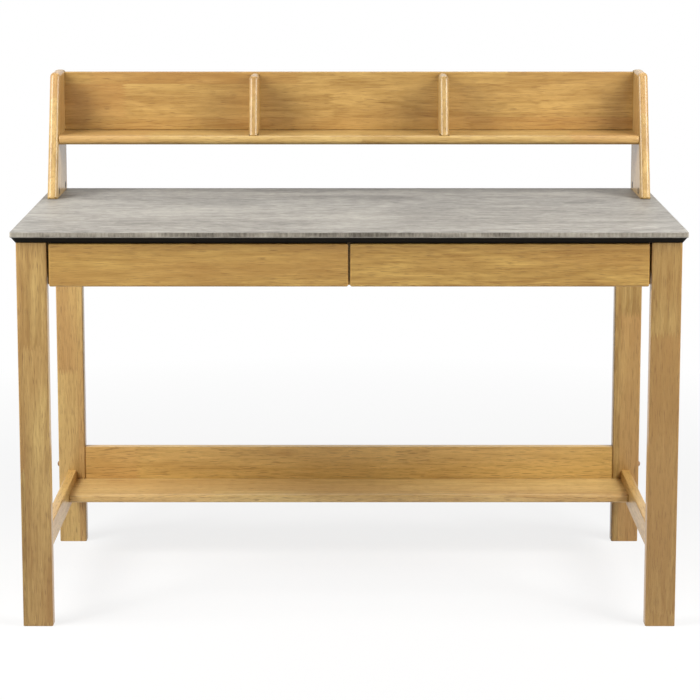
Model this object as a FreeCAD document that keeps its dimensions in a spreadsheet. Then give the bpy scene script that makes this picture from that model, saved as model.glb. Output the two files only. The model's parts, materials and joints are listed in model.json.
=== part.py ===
import FreeCAD, Part
import math
import os
from types import SimpleNamespace

import Sketcher
from FreeCAD import Rotation, Vector

# Writing desk with a low hutch: a stone-look top on four flat legs, two shallow drawers on
# ball-bearing slides, a foot shelf at the back, and a shelf with two dividers on the top.
# X runs along the front to the right, Y to the back, Z up; the origin is on the floor,
# under the middle of the top.

# Driving sizes in millimetres, each under the piece that it belongs to
SIZES = {
    # Worktop: a thin slab on a black backer whose edge slants in to the legs
    "top_width": 1219, "top_depth": 610, "top_height": 736,
    "slab_thick": 11, "slab_corner": 5, "slab_bevel": 1.2,
    "backer_thick": 10, "backer_rim": 0.8,
    # Legs
    "leg_width": 55, "leg_depth": 28, "leg_inset": 9.5, "leg_round": 3,
    # Rails under the top
    "board_thick": 18, "apron_depth": 80.5, "rear_set_back": 2.5,
    "front_rail_deep": 50, "front_rail_clear": 1, "partition_thick": 18, "rail_bevel": 1.2,
    # Tenons of the side rails in the legs
    "tenon_long": 15, "tenon_thick": 8, "tenon_shoulder": 10, "apron_tenon_tall": 34,
    "tenon_play": 0.2,
    # Low rails and foot shelf
    "stretcher_floor": 105, "stretcher_tall": 47, "rear_stretcher_tall": 83,
    "foot_shelf_floor": 118, "foot_shelf_thick": 16, "foot_shelf_deep": 133.5,
    "foot_shelf_round": 5, "foot_shelf_under": 2.5,
    # Hutch
    "hutch_inset": 13.5, "hutch_back_inset": 9.5, "hutch_side_thick": 20, "hutch_tall": 244,
    "hutch_base_deep": 167.5, "hutch_top_deep": 87.5, "hutch_corner": 11, "hutch_bevel": 4.4,
    "hutch_gap": 104, "hutch_shelf_thick": 18, "hutch_shelf_round": 7,
    "hutch_back_thick": 15, "hutch_back_gap": 0.8, "hutch_back_drop": 4, "hutch_back_bevel": 1.2,
    "divider_thick": 18, "divider_apart": 380, "divider_set_back": 4.5, "divider_drop": 6.5,
    "divider_corner": 9, "divider_bevel": 4.4,
    # Housings: a tongue at the end of a board in a groove in the next board
    "housing_deep": 5, "housing_shoulder": 4, "housing_stop": 20, "housing_play": 0.2,
    # Drawers
    "front_thick": 18, "front_side_gap": 4, "front_middle_gap": 3.7, "front_top_gap": 2,
    "front_bevel": 1.2, "box_lift": 8.5, "box_tall": 47, "box_long": 440, "box_board": 12,
    "box_bevel": 1.5, "rebate_deep": 6,
    "bottom_thick": 4, "bottom_lift": 6, "groove_deep": 5, "groove_play": 0.3,
    # Ball-bearing slides
    "slide_long": 400, "slide_tall": 27, "slide_space": 10, "slide_sheet": 1.2,
    "slide_set_back": 6, "slide_travel": 300, "slide_stop_gap": 0.8, "slide_stop_tall": 10,
    "slide_stop_reach": 6, "slide_bend": 2, "slide_hole": 4,
    "ball_width": 3.2, "ball_play": 0.15, "ball_across": 5.3, "lip_lift": 0.6,
    "groove_rise": 1, "groove_reach": 1, "groove_foot": 1.6,
    "cage_long": 90, "cage_sheet": 0.6, "cage_across": 2.6, "cage_reach": 5, "cage_margin": 5,
    # Screws, all alike, with wafer heads
    "screw_long": 9, "screw_width": 3.5, "screw_head_width": 6.4, "screw_head_thick": 1.1,
    "pilot_play": 0.1, "screw_well_width": 7.4, "screw_well_deep": 14,
    # Wooden dowels of the frame and of the drawers
    "dowel_width": 8, "dowel_long": 30, "dowel_hold": 12,
    "drawer_dowel_width": 6, "drawer_dowel_long": 24,
    "dowel_play": 0.1, "dowel_end_play": 0.5,
    # Cam locks and their bolts
    "cam_width": 14, "cam_thick": 12, "cam_reach": 11.7, "cam_axis_deep": 7, "cam_play": 0.2,
    "cam_neck_room": 7.6, "cam_cross_long": 8, "cam_cross_wide": 1.6, "cam_cross_deep": 1.5,
    "cam_bolt_head": 7, "cam_bolt_head_long": 3, "cam_bolt_neck": 5, "cam_bolt_thread": 6,
    "cam_bolt_hold": 11, "cam_front_place": 42, "cam_rear_place": 27.5,
    # Bolts of the rear rails, with barrel nuts and caps
    "bolt_width": 6, "bolt_long": 72, "bolt_head_width": 9, "bolt_head_long": 5,
    "bolt_sunk": 6, "bolt_play": 0.2, "bolt_low": 45, "apron_bolt_low": 20,
    "nut_width": 10, "nut_long": 14, "nut_from_end": 30,
    "cap_width": 11, "cap_tall": 2.4, "cap_top_width": 7, "cap_stem": 4,
    # Steel angles that hold the top
    "angle_leg": 20, "angle_wide": 20, "angle_sheet": 2, "angle_hole_place": 12,
    "angle_apart": 540,
}

# Places along a piece, as shares of its length
BACKER_REVEAL_SHARE = 0.3
SLIDE_HOLE_SHARES = (0.08, 0.62)
FOOT_DOWEL_SHARES = (0.25, 0.8)
RAIL_SCREW_SHARE = 0.5
DRAWER_DOWEL_SHARES = (0.42, 0.83)
DOWEL_HIGH_SHARE = 0.76
# How far an eight-sided bend runs on past the middle of its round one, of its radius
LIP_BEND_SHARE = math.tan(math.pi / 8)
# Hidden pins and their holes have eight sides, and caps that show have more
PIN_SIDES = 8
CAP_SIDES = 12
# How far the corners between lean out from a pin's middle each way, of its corner's reach
PIN_LEAN_SHARE = math.sqrt(0.5)
# A ball cut from three such bars stays inside its round outline
BALL_BAR_SHARE = math.sqrt(2 / 3)
BALLS_IN_ROW = 3

SIDES = (("left", -1), ("right", 1))
HAIR = 0.01
AXES = {"x": Vector(1, 0, 0), "y": Vector(0, 1, 0), "z": Vector(0, 0, 1)}
# For each axis: the origin plane across it, and which way that plane's normal points
PLANES = {"x": ("YZ_Plane", 1), "y": ("XZ_Plane", -1), "z": ("XY_Plane", 1)}

doc = FreeCAD.newDocument("writing_desk")
sheet = doc.addObject("Spreadsheet::Sheet", "Sizes")
parts = {}


# Lengths that stay bound to the sheet
class Length:
    """A length: its number now, and the expression over the sheet's cells that gives it."""

    def __init__(self, text, number):
        self.text = text
        self.number = number

    def __add__(self, other):
        return Length(f"({self.text} + {text_of(other)})", self.number + number_of(other))

    def __sub__(self, other):
        return Length(f"({self.text} - {text_of(other)})", self.number - number_of(other))

    def __mul__(self, other):
        return Length(f"({self.text} * {text_of(other)})", self.number * number_of(other))

    def __truediv__(self, other):
        return Length(f"({self.text} / {text_of(other)})", self.number / number_of(other))

    def __neg__(self):
        return Length(f"(0 - {self.text})", -self.number)


def text_of(value):
    return value.text if isinstance(value, Length) else repr(value)


def number_of(value):
    return value.number if isinstance(value, Length) else value


def fill_sheet():
    """Puts the driving sizes in the sheet, one named cell each, and gives them as lengths."""
    named = SimpleNamespace()
    for row, (name, number) in enumerate(SIZES.items(), start=1):
        sheet.set(f"A{row}", name)
        sheet.set(f"B{row}", str(number))
        sheet.setAlias(f"B{row}", name)
        setattr(named, name, Length(f"Sizes.{name}", number))
    doc.recompute()
    return named


s = fill_sheet()
ZERO = Length("0", 0)


def bind(thing, prop, value):
    """Gives a property its number, and ties it to the sheet."""
    thing.setExpression(prop, text_of(value))


def spot(x, y, z):
    return {"x": x, "y": y, "z": z}


# Sketches whose corners are tied to the sheet
def sketch_across(body, axis, place):
    """An empty sketch in a body, in the plane across an axis at a place on that axis."""
    role, normal = PLANES[axis]
    sketch = body.newObject("Sketcher::SketchObject", f"{body.Name}_sketch")
    plane = next(item for item in body.Origin.OriginFeatures if item.Role == role)
    sketch.AttachmentSupport = (plane, [""])
    sketch.MapMode = "FlatFace"
    bind(sketch, "AttachmentOffset.Base.z", place * normal)
    return sketch


def pin(sketch, item, end, across=None, up=None):
    """Holds one point of a sketch at its distances from the sketch's origin."""
    for kind, value in (("DistanceX", across), ("DistanceY", up)):
        if value is not None:
            number = sketch.addConstraint(
                Sketcher.Constraint(kind, -1, 1, item, end, number_of(value)))
            bind(sketch, f"Constraints[{number}]", value)


def draw_polygon(sketch, corners):
    """Straight lines from corner to corner, each corner held by its two places."""
    points = [Vector(number_of(a), number_of(b), 0) for a, b in corners]
    lines = [sketch.addGeometry(Part.LineSegment(points[i], points[(i + 1) % len(points)]))
             for i in range(len(points))]
    for i, line in enumerate(lines):
        sketch.addConstraint(Sketcher.Constraint("Coincident", lines[i - 1], 2, line, 1))
        pin(sketch, line, 1, *corners[i])


def draw_pin_holes(sketch, centres, width):
    """Eight-sided outlines with their corners on circles, as the hidden pins have."""
    reach = width / 2
    lean = reach * PIN_LEAN_SHARE
    for across, up in centres:
        draw_polygon(sketch, [(across + reach, up), (across + lean, up + lean),
                              (across, up + reach), (across - lean, up + lean),
                              (across - reach, up), (across - lean, up - lean),
                              (across, up - reach), (across + lean, up - lean)])


def draw_circles(sketch, centres, width):
    for across, up in centres:
        centre = Vector(number_of(across), number_of(up), 0)
        circle = sketch.addGeometry(Part.Circle(centre, Vector(0, 0, 1), number_of(width) / 2))
        pin(sketch, circle, 3, across, up)
        number = sketch.addConstraint(
            Sketcher.Constraint("Diameter", circle, number_of(width)))
        bind(sketch, f"Constraints[{number}]", width)


def angle_at(centre, corner):
    return math.atan2(number_of(corner[1]) - number_of(centre[1]),
                      number_of(corner[0]) - number_of(centre[0]))


def draw_bent_outline(sketch, steps):
    """A closed outline of lines and arcs. A step is a corner and the arc that arrives there:
    None for a line, or its centre, radius and turn, 1 to the left and -1 to the right."""
    items = []
    for i, (corner, arc) in enumerate(steps):
        before = steps[i - 1][0]
        if arc is None:
            ends = [Vector(number_of(p[0]), number_of(p[1]), 0) for p in (before, corner)]
            items.append((sketch.addGeometry(Part.LineSegment(*ends)), 1, 2, None))
            continue
        centre, radius, turn = arc
        first, last = angle_at(centre, before), angle_at(centre, corner)
        first, last = (first, last) if turn > 0 else (last, first)
        middle = Vector(number_of(centre[0]), number_of(centre[1]), 0)
        circle = Part.Circle(middle, Vector(0, 0, 1), number_of(radius))
        item = sketch.addGeometry(Part.ArcOfCircle(circle, first, last))
        items.append((item, 1, 2, arc) if turn > 0 else (item, 2, 1, arc))
        pin(sketch, item, 3, *centre)
        number = sketch.addConstraint(
            Sketcher.Constraint("Radius", item, number_of(radius)))
        bind(sketch, f"Constraints[{number}]", radius)
    for i, (corner, _) in enumerate(steps):
        item, _, end, arc = items[i]
        after, start, _, next_arc = items[(i + 1) % len(items)]
        sketch.addConstraint(Sketcher.Constraint("Coincident", item, end, after, start))
        curve = arc or next_arc
        if curve is None:
            pin(sketch, item, end, *corner)
        elif abs(math.cos(angle_at(curve[0], corner))) > math.sqrt(0.5):
            pin(sketch, item, end, up=corner[1])
        else:
            pin(sketch, item, end, across=corner[0])


def mirrored(steps):
    """The same steps upside down and walked the other way, to close a symmetric outline."""
    turned = []
    for i in range(len(steps) - 1, -1, -1):
        arc = steps[i + 1][1] if i + 1 < len(steps) else None
        if arc is not None:
            (across, up), radius, turn = arc
            arc = ((across, -up), radius, turn)
        turned.append(((steps[i][0][0], -steps[i][0][1]), arc))
    return turned


# Solid features
def new_body(label):
    body = doc.addObject("PartDesign::Body", label)
    body.Label = label
    parts[label] = body
    return body


def pad(body, sketch, axis, length):
    """Fills a sketch into a solid that goes up its axis by a length."""
    feature = body.newObject("PartDesign::Pad", f"{body.Name}_pad")
    feature.Profile = sketch
    feature.Reversed = PLANES[axis][1] < 0
    bind(feature, "Length", length)
    sketch.Visibility = False
    doc.recompute()
    return feature


def pocket(body, sketch, axis, length, toward):
    """Cuts a sketch into a solid, toward +1 or -1 along its axis, and sees that it did."""
    before = body.Shape.Volume
    feature = body.newObject("PartDesign::Pocket", f"{body.Name}_pocket")
    feature.Profile = sketch
    feature.Reversed = PLANES[axis][1] * toward > 0
    bind(feature, "Length", length)
    sketch.Visibility = False
    doc.recompute()
    if not body.Shape.Volume < before:
        raise RuntimeError(f"{body.Label}: a pocket cuts nothing")
    return feature


def rectangle(across, up):
    return [(across[0], up[0]), (across[1], up[0]), (across[1], up[1]), (across[0], up[1])]


def prism(body, axis, span, corners):
    """A polygon carried along an axis over a span, fused to what the body already has."""
    sketch = sketch_across(body, axis, span[0])
    draw_polygon(sketch, corners)
    return pad(body, sketch, axis, span[1] - span[0])


def board(label, x, y, z):
    body = new_body(label)
    prism(body, "z", z, rectangle(x, y))
    return body


def cut(body, axis, start, length, toward, corners):
    sketch = sketch_across(body, axis, start)
    draw_polygon(sketch, corners)
    pocket(body, sketch, axis, length, toward)


def drill(body, axis, start, length, toward, centres, width, draw=draw_pin_holes):
    """Holes from a face, at centres given by the two other places in X, Y, Z order."""
    sketch = sketch_across(body, axis, start)
    draw(sketch, centres, width)
    pocket(body, sketch, axis, length, toward)


def lies_at(edge, axis, place):
    """Whether a whole edge lies in the plane across an axis at a place."""
    box = edge.BoundBox
    low, high = {"x": (box.XMin, box.XMax), "y": (box.YMin, box.YMax),
                 "z": (box.ZMin, box.ZMax)}[axis]
    return max(abs(low - number_of(place)), abs(high - number_of(place))) < HAIR


def runs_along(edge, axis):
    ends = [vertex.Point for vertex in edge.Vertexes]
    if len(ends) < 2:
        return False
    step = ends[1] - ends[0]
    return step.Length > HAIR and abs(abs(step.dot(AXES[axis])) - step.Length) < HAIR


def edge_feature(body, kind, chosen):
    """A fillet or chamfer, not yet sized, on the edges of a body that a test chooses."""
    base = body.Tip
    names = [f"Edge{i}" for i, edge in enumerate(base.Shape.Edges, start=1) if chosen(edge)]
    feature = body.newObject(f"PartDesign::{kind}", f"{body.Name}_{kind}")
    feature.Base = (base, names)
    return feature


def ease(body, radius, chosen):
    """Rounds the chosen edges."""
    bind(edge_feature(body, "Fillet", chosen), "Radius", radius)
    doc.recompute()


def bevel(body, size, chosen):
    """Takes the chosen edges off flat, at 45 degrees."""
    bind(edge_feature(body, "Chamfer", chosen), "Size", size)
    doc.recompute()


# Groups of like pieces, each placed by its own values
def place(thing, at, rotation=None):
    for axis, value in at.items():
        bind(thing, f"Placement.Base.{axis}", value)
    if rotation is not None:
        thing.Placement.Rotation = rotation
    return thing


def bar(width, length, start=ZERO):
    """A hidden pin up its own Z axis from a start, with eight sides inside its round one."""
    rod = doc.addObject("Part::Prism", "rod")
    rod.Polygon = PIN_SIDES
    bind(rod, "Circumradius", width / 2)
    bind(rod, "Height", length)
    return place(rod, {"z": start})


def cylinder(width, length, start=ZERO):
    """A round bar up its own Z axis from a start."""
    disc = doc.addObject("Part::Cylinder", "disc")
    bind(disc, "Radius", width / 2)
    bind(disc, "Height", length)
    return place(disc, {"z": start})


def frustum(low_width, high_width, length):
    """A many-sided taper up its own Z axis."""
    rings = []
    for width, height in ((low_width, ZERO), (high_width, length)):
        ring = doc.addObject("Part::RegularPolygon", "ring")
        ring.Polygon = CAP_SIDES
        bind(ring, "Circumradius", width / 2)
        rings.append(place(ring, {"z": height}))
    taper = doc.addObject("Part::Loft", "taper")
    taper.Sections = rings
    taper.Solid = True
    taper.Ruled = True
    return taper


def box(x, y, z):
    block = doc.addObject("Part::Box", "block")
    for prop, (low, high) in (("Length", x), ("Width", y), ("Height", z)):
        bind(block, prop, high - low)
    return place(block, spot(x[0], y[0], z[0]))


def fuse(*members):
    joined = doc.addObject("Part::MultiFuse", "joined")
    joined.Shapes = list(members)
    return joined


def less(base, tool):
    cut_one = doc.addObject("Part::Cut", "less")
    cut_one.Base = base
    cut_one.Tool = tool
    return cut_one


def group(label, members):
    """Like pieces under one name, each a solid of its own."""
    compound = doc.addObject("Part::Compound", label)
    compound.Label = label
    compound.Links = members
    parts[label] = compound
    return compound


def turned_to(direction):
    return Rotation(Vector(0, 0, 1), direction)


# Places that several pieces share
half_width = s.top_width / 2
half_depth = s.top_depth / 2
slab_low = s.top_height - s.slab_thick
leg_top = slab_low - s.backer_thick
leg_out = half_width - s.leg_inset
leg_in = leg_out - s.leg_width
leg_mid = (leg_out + leg_in) / 2
legs_front = s.leg_inset - half_depth
legs_back = -legs_front
front_leg_back = legs_front + s.leg_depth
rear_leg_front = legs_back - s.leg_depth
apron_low = leg_top - s.apron_depth
side_rail_in = leg_mid - s.board_thick / 2
side_rail_out = leg_mid + s.board_thick / 2
# The packers stand in from the legs as far as the drawer fronts do, and so close the gap
packer_in = leg_in - s.front_side_gap
rear_rail_front = rear_leg_front + s.rear_set_back
rear_rail_back = rear_rail_front + s.board_thick
rear_rail_mid = rear_rail_front + s.board_thick / 2
front_back = legs_front + s.front_thick
front_rail_front = front_back + s.front_rail_clear
front_rail_back = front_rail_front + s.front_rail_deep
front_rail_low = leg_top - s.board_thick
partition_half = s.partition_thick / 2
stretcher_top = s.stretcher_floor + s.stretcher_tall
foot_shelf_top = s.foot_shelf_floor + s.foot_shelf_thick
foot_shelf_front = rear_rail_front - s.foot_shelf_deep
rear_stretcher_top = s.foot_shelf_floor + s.rear_stretcher_tall

hutch_out = half_width - s.hutch_inset
hutch_in = hutch_out - s.hutch_side_thick
hutch_back_face = half_depth - s.hutch_back_inset
hutch_base_front = hutch_back_face - s.hutch_base_deep
hutch_top_front = hutch_back_face - s.hutch_top_deep
hutch_top = s.top_height + s.hutch_tall
hutch_slope = (hutch_top_front - hutch_base_front) / s.hutch_tall
shelf_low = s.top_height + s.hutch_gap
shelf_top = shelf_low + s.hutch_shelf_thick
shelf_front = hutch_base_front + hutch_slope * (shelf_top - s.top_height)
back_panel_front = hutch_back_face - s.hutch_back_thick
back_panel_low = shelf_top + s.hutch_back_gap
back_panel_top = hutch_top - s.hutch_back_drop

bolt_heights = {"rear_apron": apron_low + s.apron_bolt_low,
                "rear_stretcher": s.foot_shelf_floor + s.bolt_low}
dowel_heights = {"rear_apron": apron_low + s.apron_depth * DOWEL_HIGH_SHARE,
                 "rear_stretcher": s.foot_shelf_floor + s.rear_stretcher_tall * DOWEL_HIGH_SHARE}
dowel_bore = s.dowel_width + s.dowel_play * 2
pilot = s.screw_width + s.pilot_play * 2
frame_dowels = []
frame_screws = []


def share_of(span, share):
    return span[0] + (span[1] - span[0]) * share


def sided(side, inner, outer):
    """A span of X on one side of the desk, from the low end to the high end."""
    return (inner, outer) if side > 0 else (-outer, -inner)


def dowel(at, axis, width=s.dowel_width, length=s.dowel_long):
    """A wooden dowel from one end, up its axis."""
    return place(bar(width, length), at, turned_to(AXES[axis]))


def peg(first, first_hold, second, axis, plane, at):
    """A frame dowel across the plane where two boards meet, with its hole in each board.
    The first board is on the low side, and the dowel goes into it by first_hold."""
    centre = tuple(at[other] for other in "xyz" if other != axis)
    rest = s.dowel_long - first_hold
    drill(first, axis, plane, first_hold + s.dowel_end_play, -1, [centre], dowel_bore)
    drill(second, axis, plane, rest + s.dowel_end_play, 1, [centre], dowel_bore)
    frame_dowels.append(dowel({**at, axis: plane - first_hold}, axis))


def screw(at, direction):
    """A wafer-head screw: the underside of its head is at a place, and its shank ahead."""
    head = bar(s.screw_head_width, s.screw_head_thick, -s.screw_head_thick)
    shank = bar(s.screw_width, s.screw_long)
    return place(fuse(head, shank), at, turned_to(direction))


# Worktop
def make_slab():
    slab = board("worktop_slab", (-half_width, half_width), (-half_depth, half_depth),
                 (slab_low, s.top_height))
    ease(slab, s.slab_corner, lambda edge: runs_along(edge, "z"))
    bevel(slab, s.slab_bevel,
          lambda edge: lies_at(edge, "z", s.top_height) or lies_at(edge, "z", slab_low))
    return slab


def make_backer():
    """The black backer under the slab: its edge slants in, down to the legs' outline. It
    stays far enough inside the slab for its sharp corners not to pass the slab's round ones."""
    reveal = s.slab_corner * BACKER_REVEAL_SHARE
    wide, deep = half_width - reveal, half_depth - reveal
    backer = board("worktop_backer", (-wide, wide), (-deep, deep), (leg_top, slab_low))
    slant = edge_feature(backer, "Chamfer", lambda edge: lies_at(edge, "z", leg_top))
    slant.ChamferType = "Two distances"
    bind(slant, "Size", s.backer_thick - s.backer_rim)
    bind(slant, "Size2", s.leg_inset - reveal)
    doc.recompute()
    return backer


# Legs and the rails between them
def tenon_section(low, high, side, play=0):
    half = s.tenon_thick / 2 + play
    x = sided(side, leg_mid - half, leg_mid + half)
    return rectangle(x, (low - play, high + play))


def tenon_heights():
    return ((leg_top - s.tenon_shoulder - s.apron_tenon_tall, leg_top - s.tenon_shoulder),
            (s.stretcher_floor + s.tenon_shoulder, stretcher_top - s.tenon_shoulder))


def make_leg(name, side, where):
    """A flat leg with rounded edges and the two mortises for the side rails' tenons."""
    y = (legs_front, front_leg_back) if where == "front" else (rear_leg_front, legs_back)
    leg = board(f"{where}_leg_{name}", sided(side, leg_in, leg_out), y, (ZERO, leg_top))
    ease(leg, s.leg_round, lambda edge: runs_along(edge, "z"))
    face, toward = (front_leg_back, -1) if where == "front" else (rear_leg_front, 1)
    for low, high in tenon_heights():
        cut(leg, "y", face, s.tenon_long + s.tenon_play, toward,
            tenon_section(low, high, side, s.tenon_play))
    return leg


def make_side_rail(label, side, z, tenon):
    """A rail from leg to leg, with one tongue through its length that makes both tenons."""
    rail = board(label, sided(side, side_rail_in, side_rail_out),
                 (front_leg_back, rear_leg_front), z)
    prism(rail, "y", (front_leg_back - s.tenon_long, rear_leg_front + s.tenon_long),
          tenon_section(*tenon, side))
    return rail


def make_sides():
    legs, rails = {}, {}
    apron_tenon, stretcher_tenon = tenon_heights()
    for name, side in SIDES:
        for where in ("front", "rear"):
            legs[where, name] = make_leg(name, side, where)
        rails["apron", name] = make_side_rail(
            f"side_apron_{name}", side, (apron_low, leg_top), apron_tenon)
        rails["stretcher", name] = make_side_rail(
            f"side_stretcher_{name}", side, (s.stretcher_floor, stretcher_top), stretcher_tenon)
        rails["packer", name] = board(
            f"slide_packer_{name}", sided(side, packer_in, side_rail_in),
            (front_leg_back, rear_leg_front), (apron_low, leg_top))
    return legs, rails


def make_middle():
    """The long rails, the partition between the drawers and the foot shelf."""
    between = (-leg_in, leg_in)
    rails = {
        "rear_apron": board("rear_apron", between, (rear_rail_front, rear_rail_back),
                            (apron_low, leg_top)),
        "rear_stretcher": board("rear_stretcher", between, (rear_rail_front, rear_rail_back),
                                (s.foot_shelf_floor, rear_stretcher_top)),
        "front_rail": board("front_rail", (-packer_in, packer_in),
                            (front_rail_front, front_rail_back), (front_rail_low, leg_top)),
    }
    for rail in rails.values():
        bevel(rail, s.rail_bevel, lambda edge: runs_along(edge, "x"))
    partition = new_body("centre_partition")
    prism(partition, "x", (-partition_half, partition_half),
          [(front_rail_front, apron_low), (rear_rail_front, apron_low),
           (rear_rail_front, leg_top), (front_rail_back, leg_top),
           (front_rail_back, front_rail_low), (front_rail_front, front_rail_low)])
    shelf = new_body("foot_shelf")
    prism(shelf, "z", (s.foot_shelf_floor, foot_shelf_top),
          [(-side_rail_in, foot_shelf_front), (side_rail_in, foot_shelf_front),
           (side_rail_in, rear_leg_front), (leg_in, rear_leg_front),
           (leg_in, rear_rail_front), (-leg_in, rear_rail_front),
           (-leg_in, rear_leg_front), (-side_rail_in, rear_leg_front)])
    ease(shelf, s.foot_shelf_round,
         lambda edge: lies_at(edge, "y", foot_shelf_front) and lies_at(edge, "z", foot_shelf_top))
    ease(shelf, s.foot_shelf_under,
         lambda edge: runs_along(edge, "x") and lies_at(edge, "y", foot_shelf_front)
         and lies_at(edge, "z", s.foot_shelf_floor))
    return rails, partition, shelf


def join_frame(legs, rails, long_rails, partition, shelf):
    """Dowels between the frame's boards."""
    front_rail = long_rails["front_rail"]
    rail_mid_z = (front_rail_low + leg_top) / 2
    rail_mid_y = (front_rail_back + front_leg_back) / 2
    shelf_span = (foot_shelf_front, rear_rail_front)
    shelf_mid_z = (s.foot_shelf_floor + foot_shelf_top) / 2
    half_dowel = s.dowel_long / 2
    for name, side in SIDES:
        leg, packer = legs["rear", name], rails["packer", name]
        stretcher = rails["stretcher", name]
        for label, height in dowel_heights.items():
            pair = (leg, long_rails[label]) if side < 0 else (long_rails[label], leg)
            peg(pair[0], half_dowel, pair[1], "x", leg_in * side,
                spot(None, rear_rail_mid, height))
        pair = (packer, front_rail) if side < 0 else (front_rail, packer)
        peg(pair[0], half_dowel, pair[1], "x", packer_in * side,
            spot(None, rail_mid_y, rail_mid_z))
        pair = (stretcher, shelf) if side < 0 else (shelf, stretcher)
        for share in FOOT_DOWEL_SHARES:
            peg(pair[0], half_dowel, pair[1], "x", side_rail_in * side,
                spot(None, share_of(shelf_span, share), shelf_mid_z))
    peg(partition, s.dowel_long - s.dowel_hold, front_rail, "z", front_rail_low,
        spot(ZERO, (front_rail_front + front_rail_back) / 2, None))
    peg(partition, s.dowel_long - s.dowel_hold, long_rails["rear_apron"], "y", rear_rail_front,
        spot(ZERO, None, (apron_low + leg_top) / 2))


# Hutch
def make_hutch_side(name, side):
    """A side that leans back: a slanted front, a round top corner, and bevelled edges."""
    panel = new_body(f"hutch_side_{name}")
    prism(panel, "x", sided(side, hutch_in, hutch_out),
          [(hutch_base_front, s.top_height), (hutch_back_face, s.top_height),
           (hutch_back_face, hutch_top), (hutch_top_front, hutch_top)])
    shape_front(panel, hutch_top_front, hutch_top, s.hutch_corner, s.hutch_bevel,
                s.top_height, hutch_back_face)
    return panel


def shape_front(panel, corner_y, corner_z, corner_radius, edge_size, low, back):
    """Rounds the top front corner, and then bevels both front edges over it to the back."""
    ease(panel, corner_radius, lambda edge: runs_along(edge, "x")
         and lies_at(edge, "y", corner_y) and lies_at(edge, "z", corner_z))
    bevel(panel, edge_size, lambda edge: edge.BoundBox.XLength < HAIR
          and not lies_at(edge, "z", low) and not lies_at(edge, "y", back))


def house_ends(panel, sides, y, z):
    """A tongue through a board's length, with both ends in grooves in the hutch's sides."""
    deep, play = s.housing_deep, s.housing_play
    prism(panel, "x", (-(hutch_in + deep), hutch_in + deep), rectangle(y, z))
    for name, side in SIDES:
        cut(sides[name], "x", hutch_in * side, deep + play, side,
            rectangle((y[0] - play, y[1] + play), (z[0] - play, z[1] + play)))


def house_foot(divider, shelf, middle, y):
    """A tongue under a divider's foot, in a groove in the shelf."""
    deep, play = s.housing_deep, s.housing_play
    half = s.divider_thick / 2 - s.housing_shoulder
    prism(divider, "z", (shelf_top - deep, shelf_top + deep),
          rectangle((middle - half, middle + half), y))
    cut(shelf, "z", shelf_top, deep + play, -1,
        rectangle((middle - half - play, middle + half + play), (y[0] - play, y[1] + play)))


def make_divider(name, side):
    panel = new_body(f"hutch_divider_{name}")
    middle = s.divider_apart / 2 * side
    front = shelf_front + s.divider_set_back
    top = hutch_top - s.divider_drop
    top_front = front + hutch_slope * (top - shelf_top)
    prism(panel, "x", (middle - s.divider_thick / 2, middle + s.divider_thick / 2),
          [(front, shelf_top), (back_panel_front, shelf_top), (back_panel_front, top),
           (top_front, top)])
    shape_front(panel, top_front, top, s.divider_corner, s.divider_bevel,
                shelf_top, back_panel_front)
    return panel


def make_hutch():
    sides = {name: make_hutch_side(name, side) for name, side in SIDES}
    dividers = {name: make_divider(name, side) for name, side in SIDES}
    between = (-hutch_in, hutch_in)
    shelf = board("hutch_shelf", between, (shelf_front, hutch_back_face), (shelf_low, shelf_top))
    ease(shelf, s.hutch_shelf_round,
         lambda edge: runs_along(edge, "x") and lies_at(edge, "y", shelf_front))
    back = board("hutch_back", between, (back_panel_front, hutch_back_face),
                 (back_panel_low, back_panel_top))
    bevel(back, s.hutch_back_bevel,
          lambda edge: runs_along(edge, "x") and lies_at(edge, "z", back_panel_top))
    stop, shoulder = s.housing_stop, s.housing_shoulder
    house_ends(shelf, sides, (shelf_front + stop, hutch_back_face - stop),
               (shelf_low + shoulder, shelf_top - shoulder))
    house_ends(back, sides, (back_panel_front + shoulder, hutch_back_face - shoulder),
               (back_panel_low + shoulder * 2, back_panel_top - shoulder * 2))
    for name, side in SIDES:
        house_foot(dividers[name], shelf, s.divider_apart / 2 * side,
                   (shelf_front + stop, back_panel_front - shoulder))
    return sides


# Cam locks: a round cam in one board turns onto the head of a bolt in the next board
def cam(at, face, toward):
    """A cam flush in a board's face, with its slot open toward the bolt and a cross recess."""
    disc = cylinder(s.cam_width, s.cam_thick, -s.cam_thick)
    half = s.cam_neck_room / 2
    slot = box((-half, s.cam_width), (-half, half),
               (-s.cam_axis_deep - half, half - s.cam_axis_deep))
    long, wide = s.cam_cross_long / 2, s.cam_cross_wide / 2
    cross = [box((-a, a), (-b, b), (-s.cam_cross_deep, s.cam_cross_deep))
             for a, b in ((long, wide), (wide, long))]
    lock = less(disc, fuse(slot, *cross))
    return place(lock, at, Rotation(toward, face.cross(toward), face, "ZXY"))


def cam_bolt(at, face, toward):
    """The bolt that a cam pulls on: head, neck, and the thread in the other board."""
    head = bar(s.cam_bolt_head, s.cam_bolt_head_long, -s.cam_bolt_head_long / 2)
    neck = bar(s.cam_bolt_neck, s.cam_reach)
    thread = bar(s.cam_bolt_thread, s.cam_bolt_hold, s.cam_reach)
    axis = next(name for name, way in AXES.items() if abs(way.dot(face)) > HAIR)
    sunk = {**at, axis: at[axis] - s.cam_axis_deep * (face.x + face.y + face.z)}
    return place(fuse(head, neck, thread), sunk, turned_to(toward))


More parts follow.
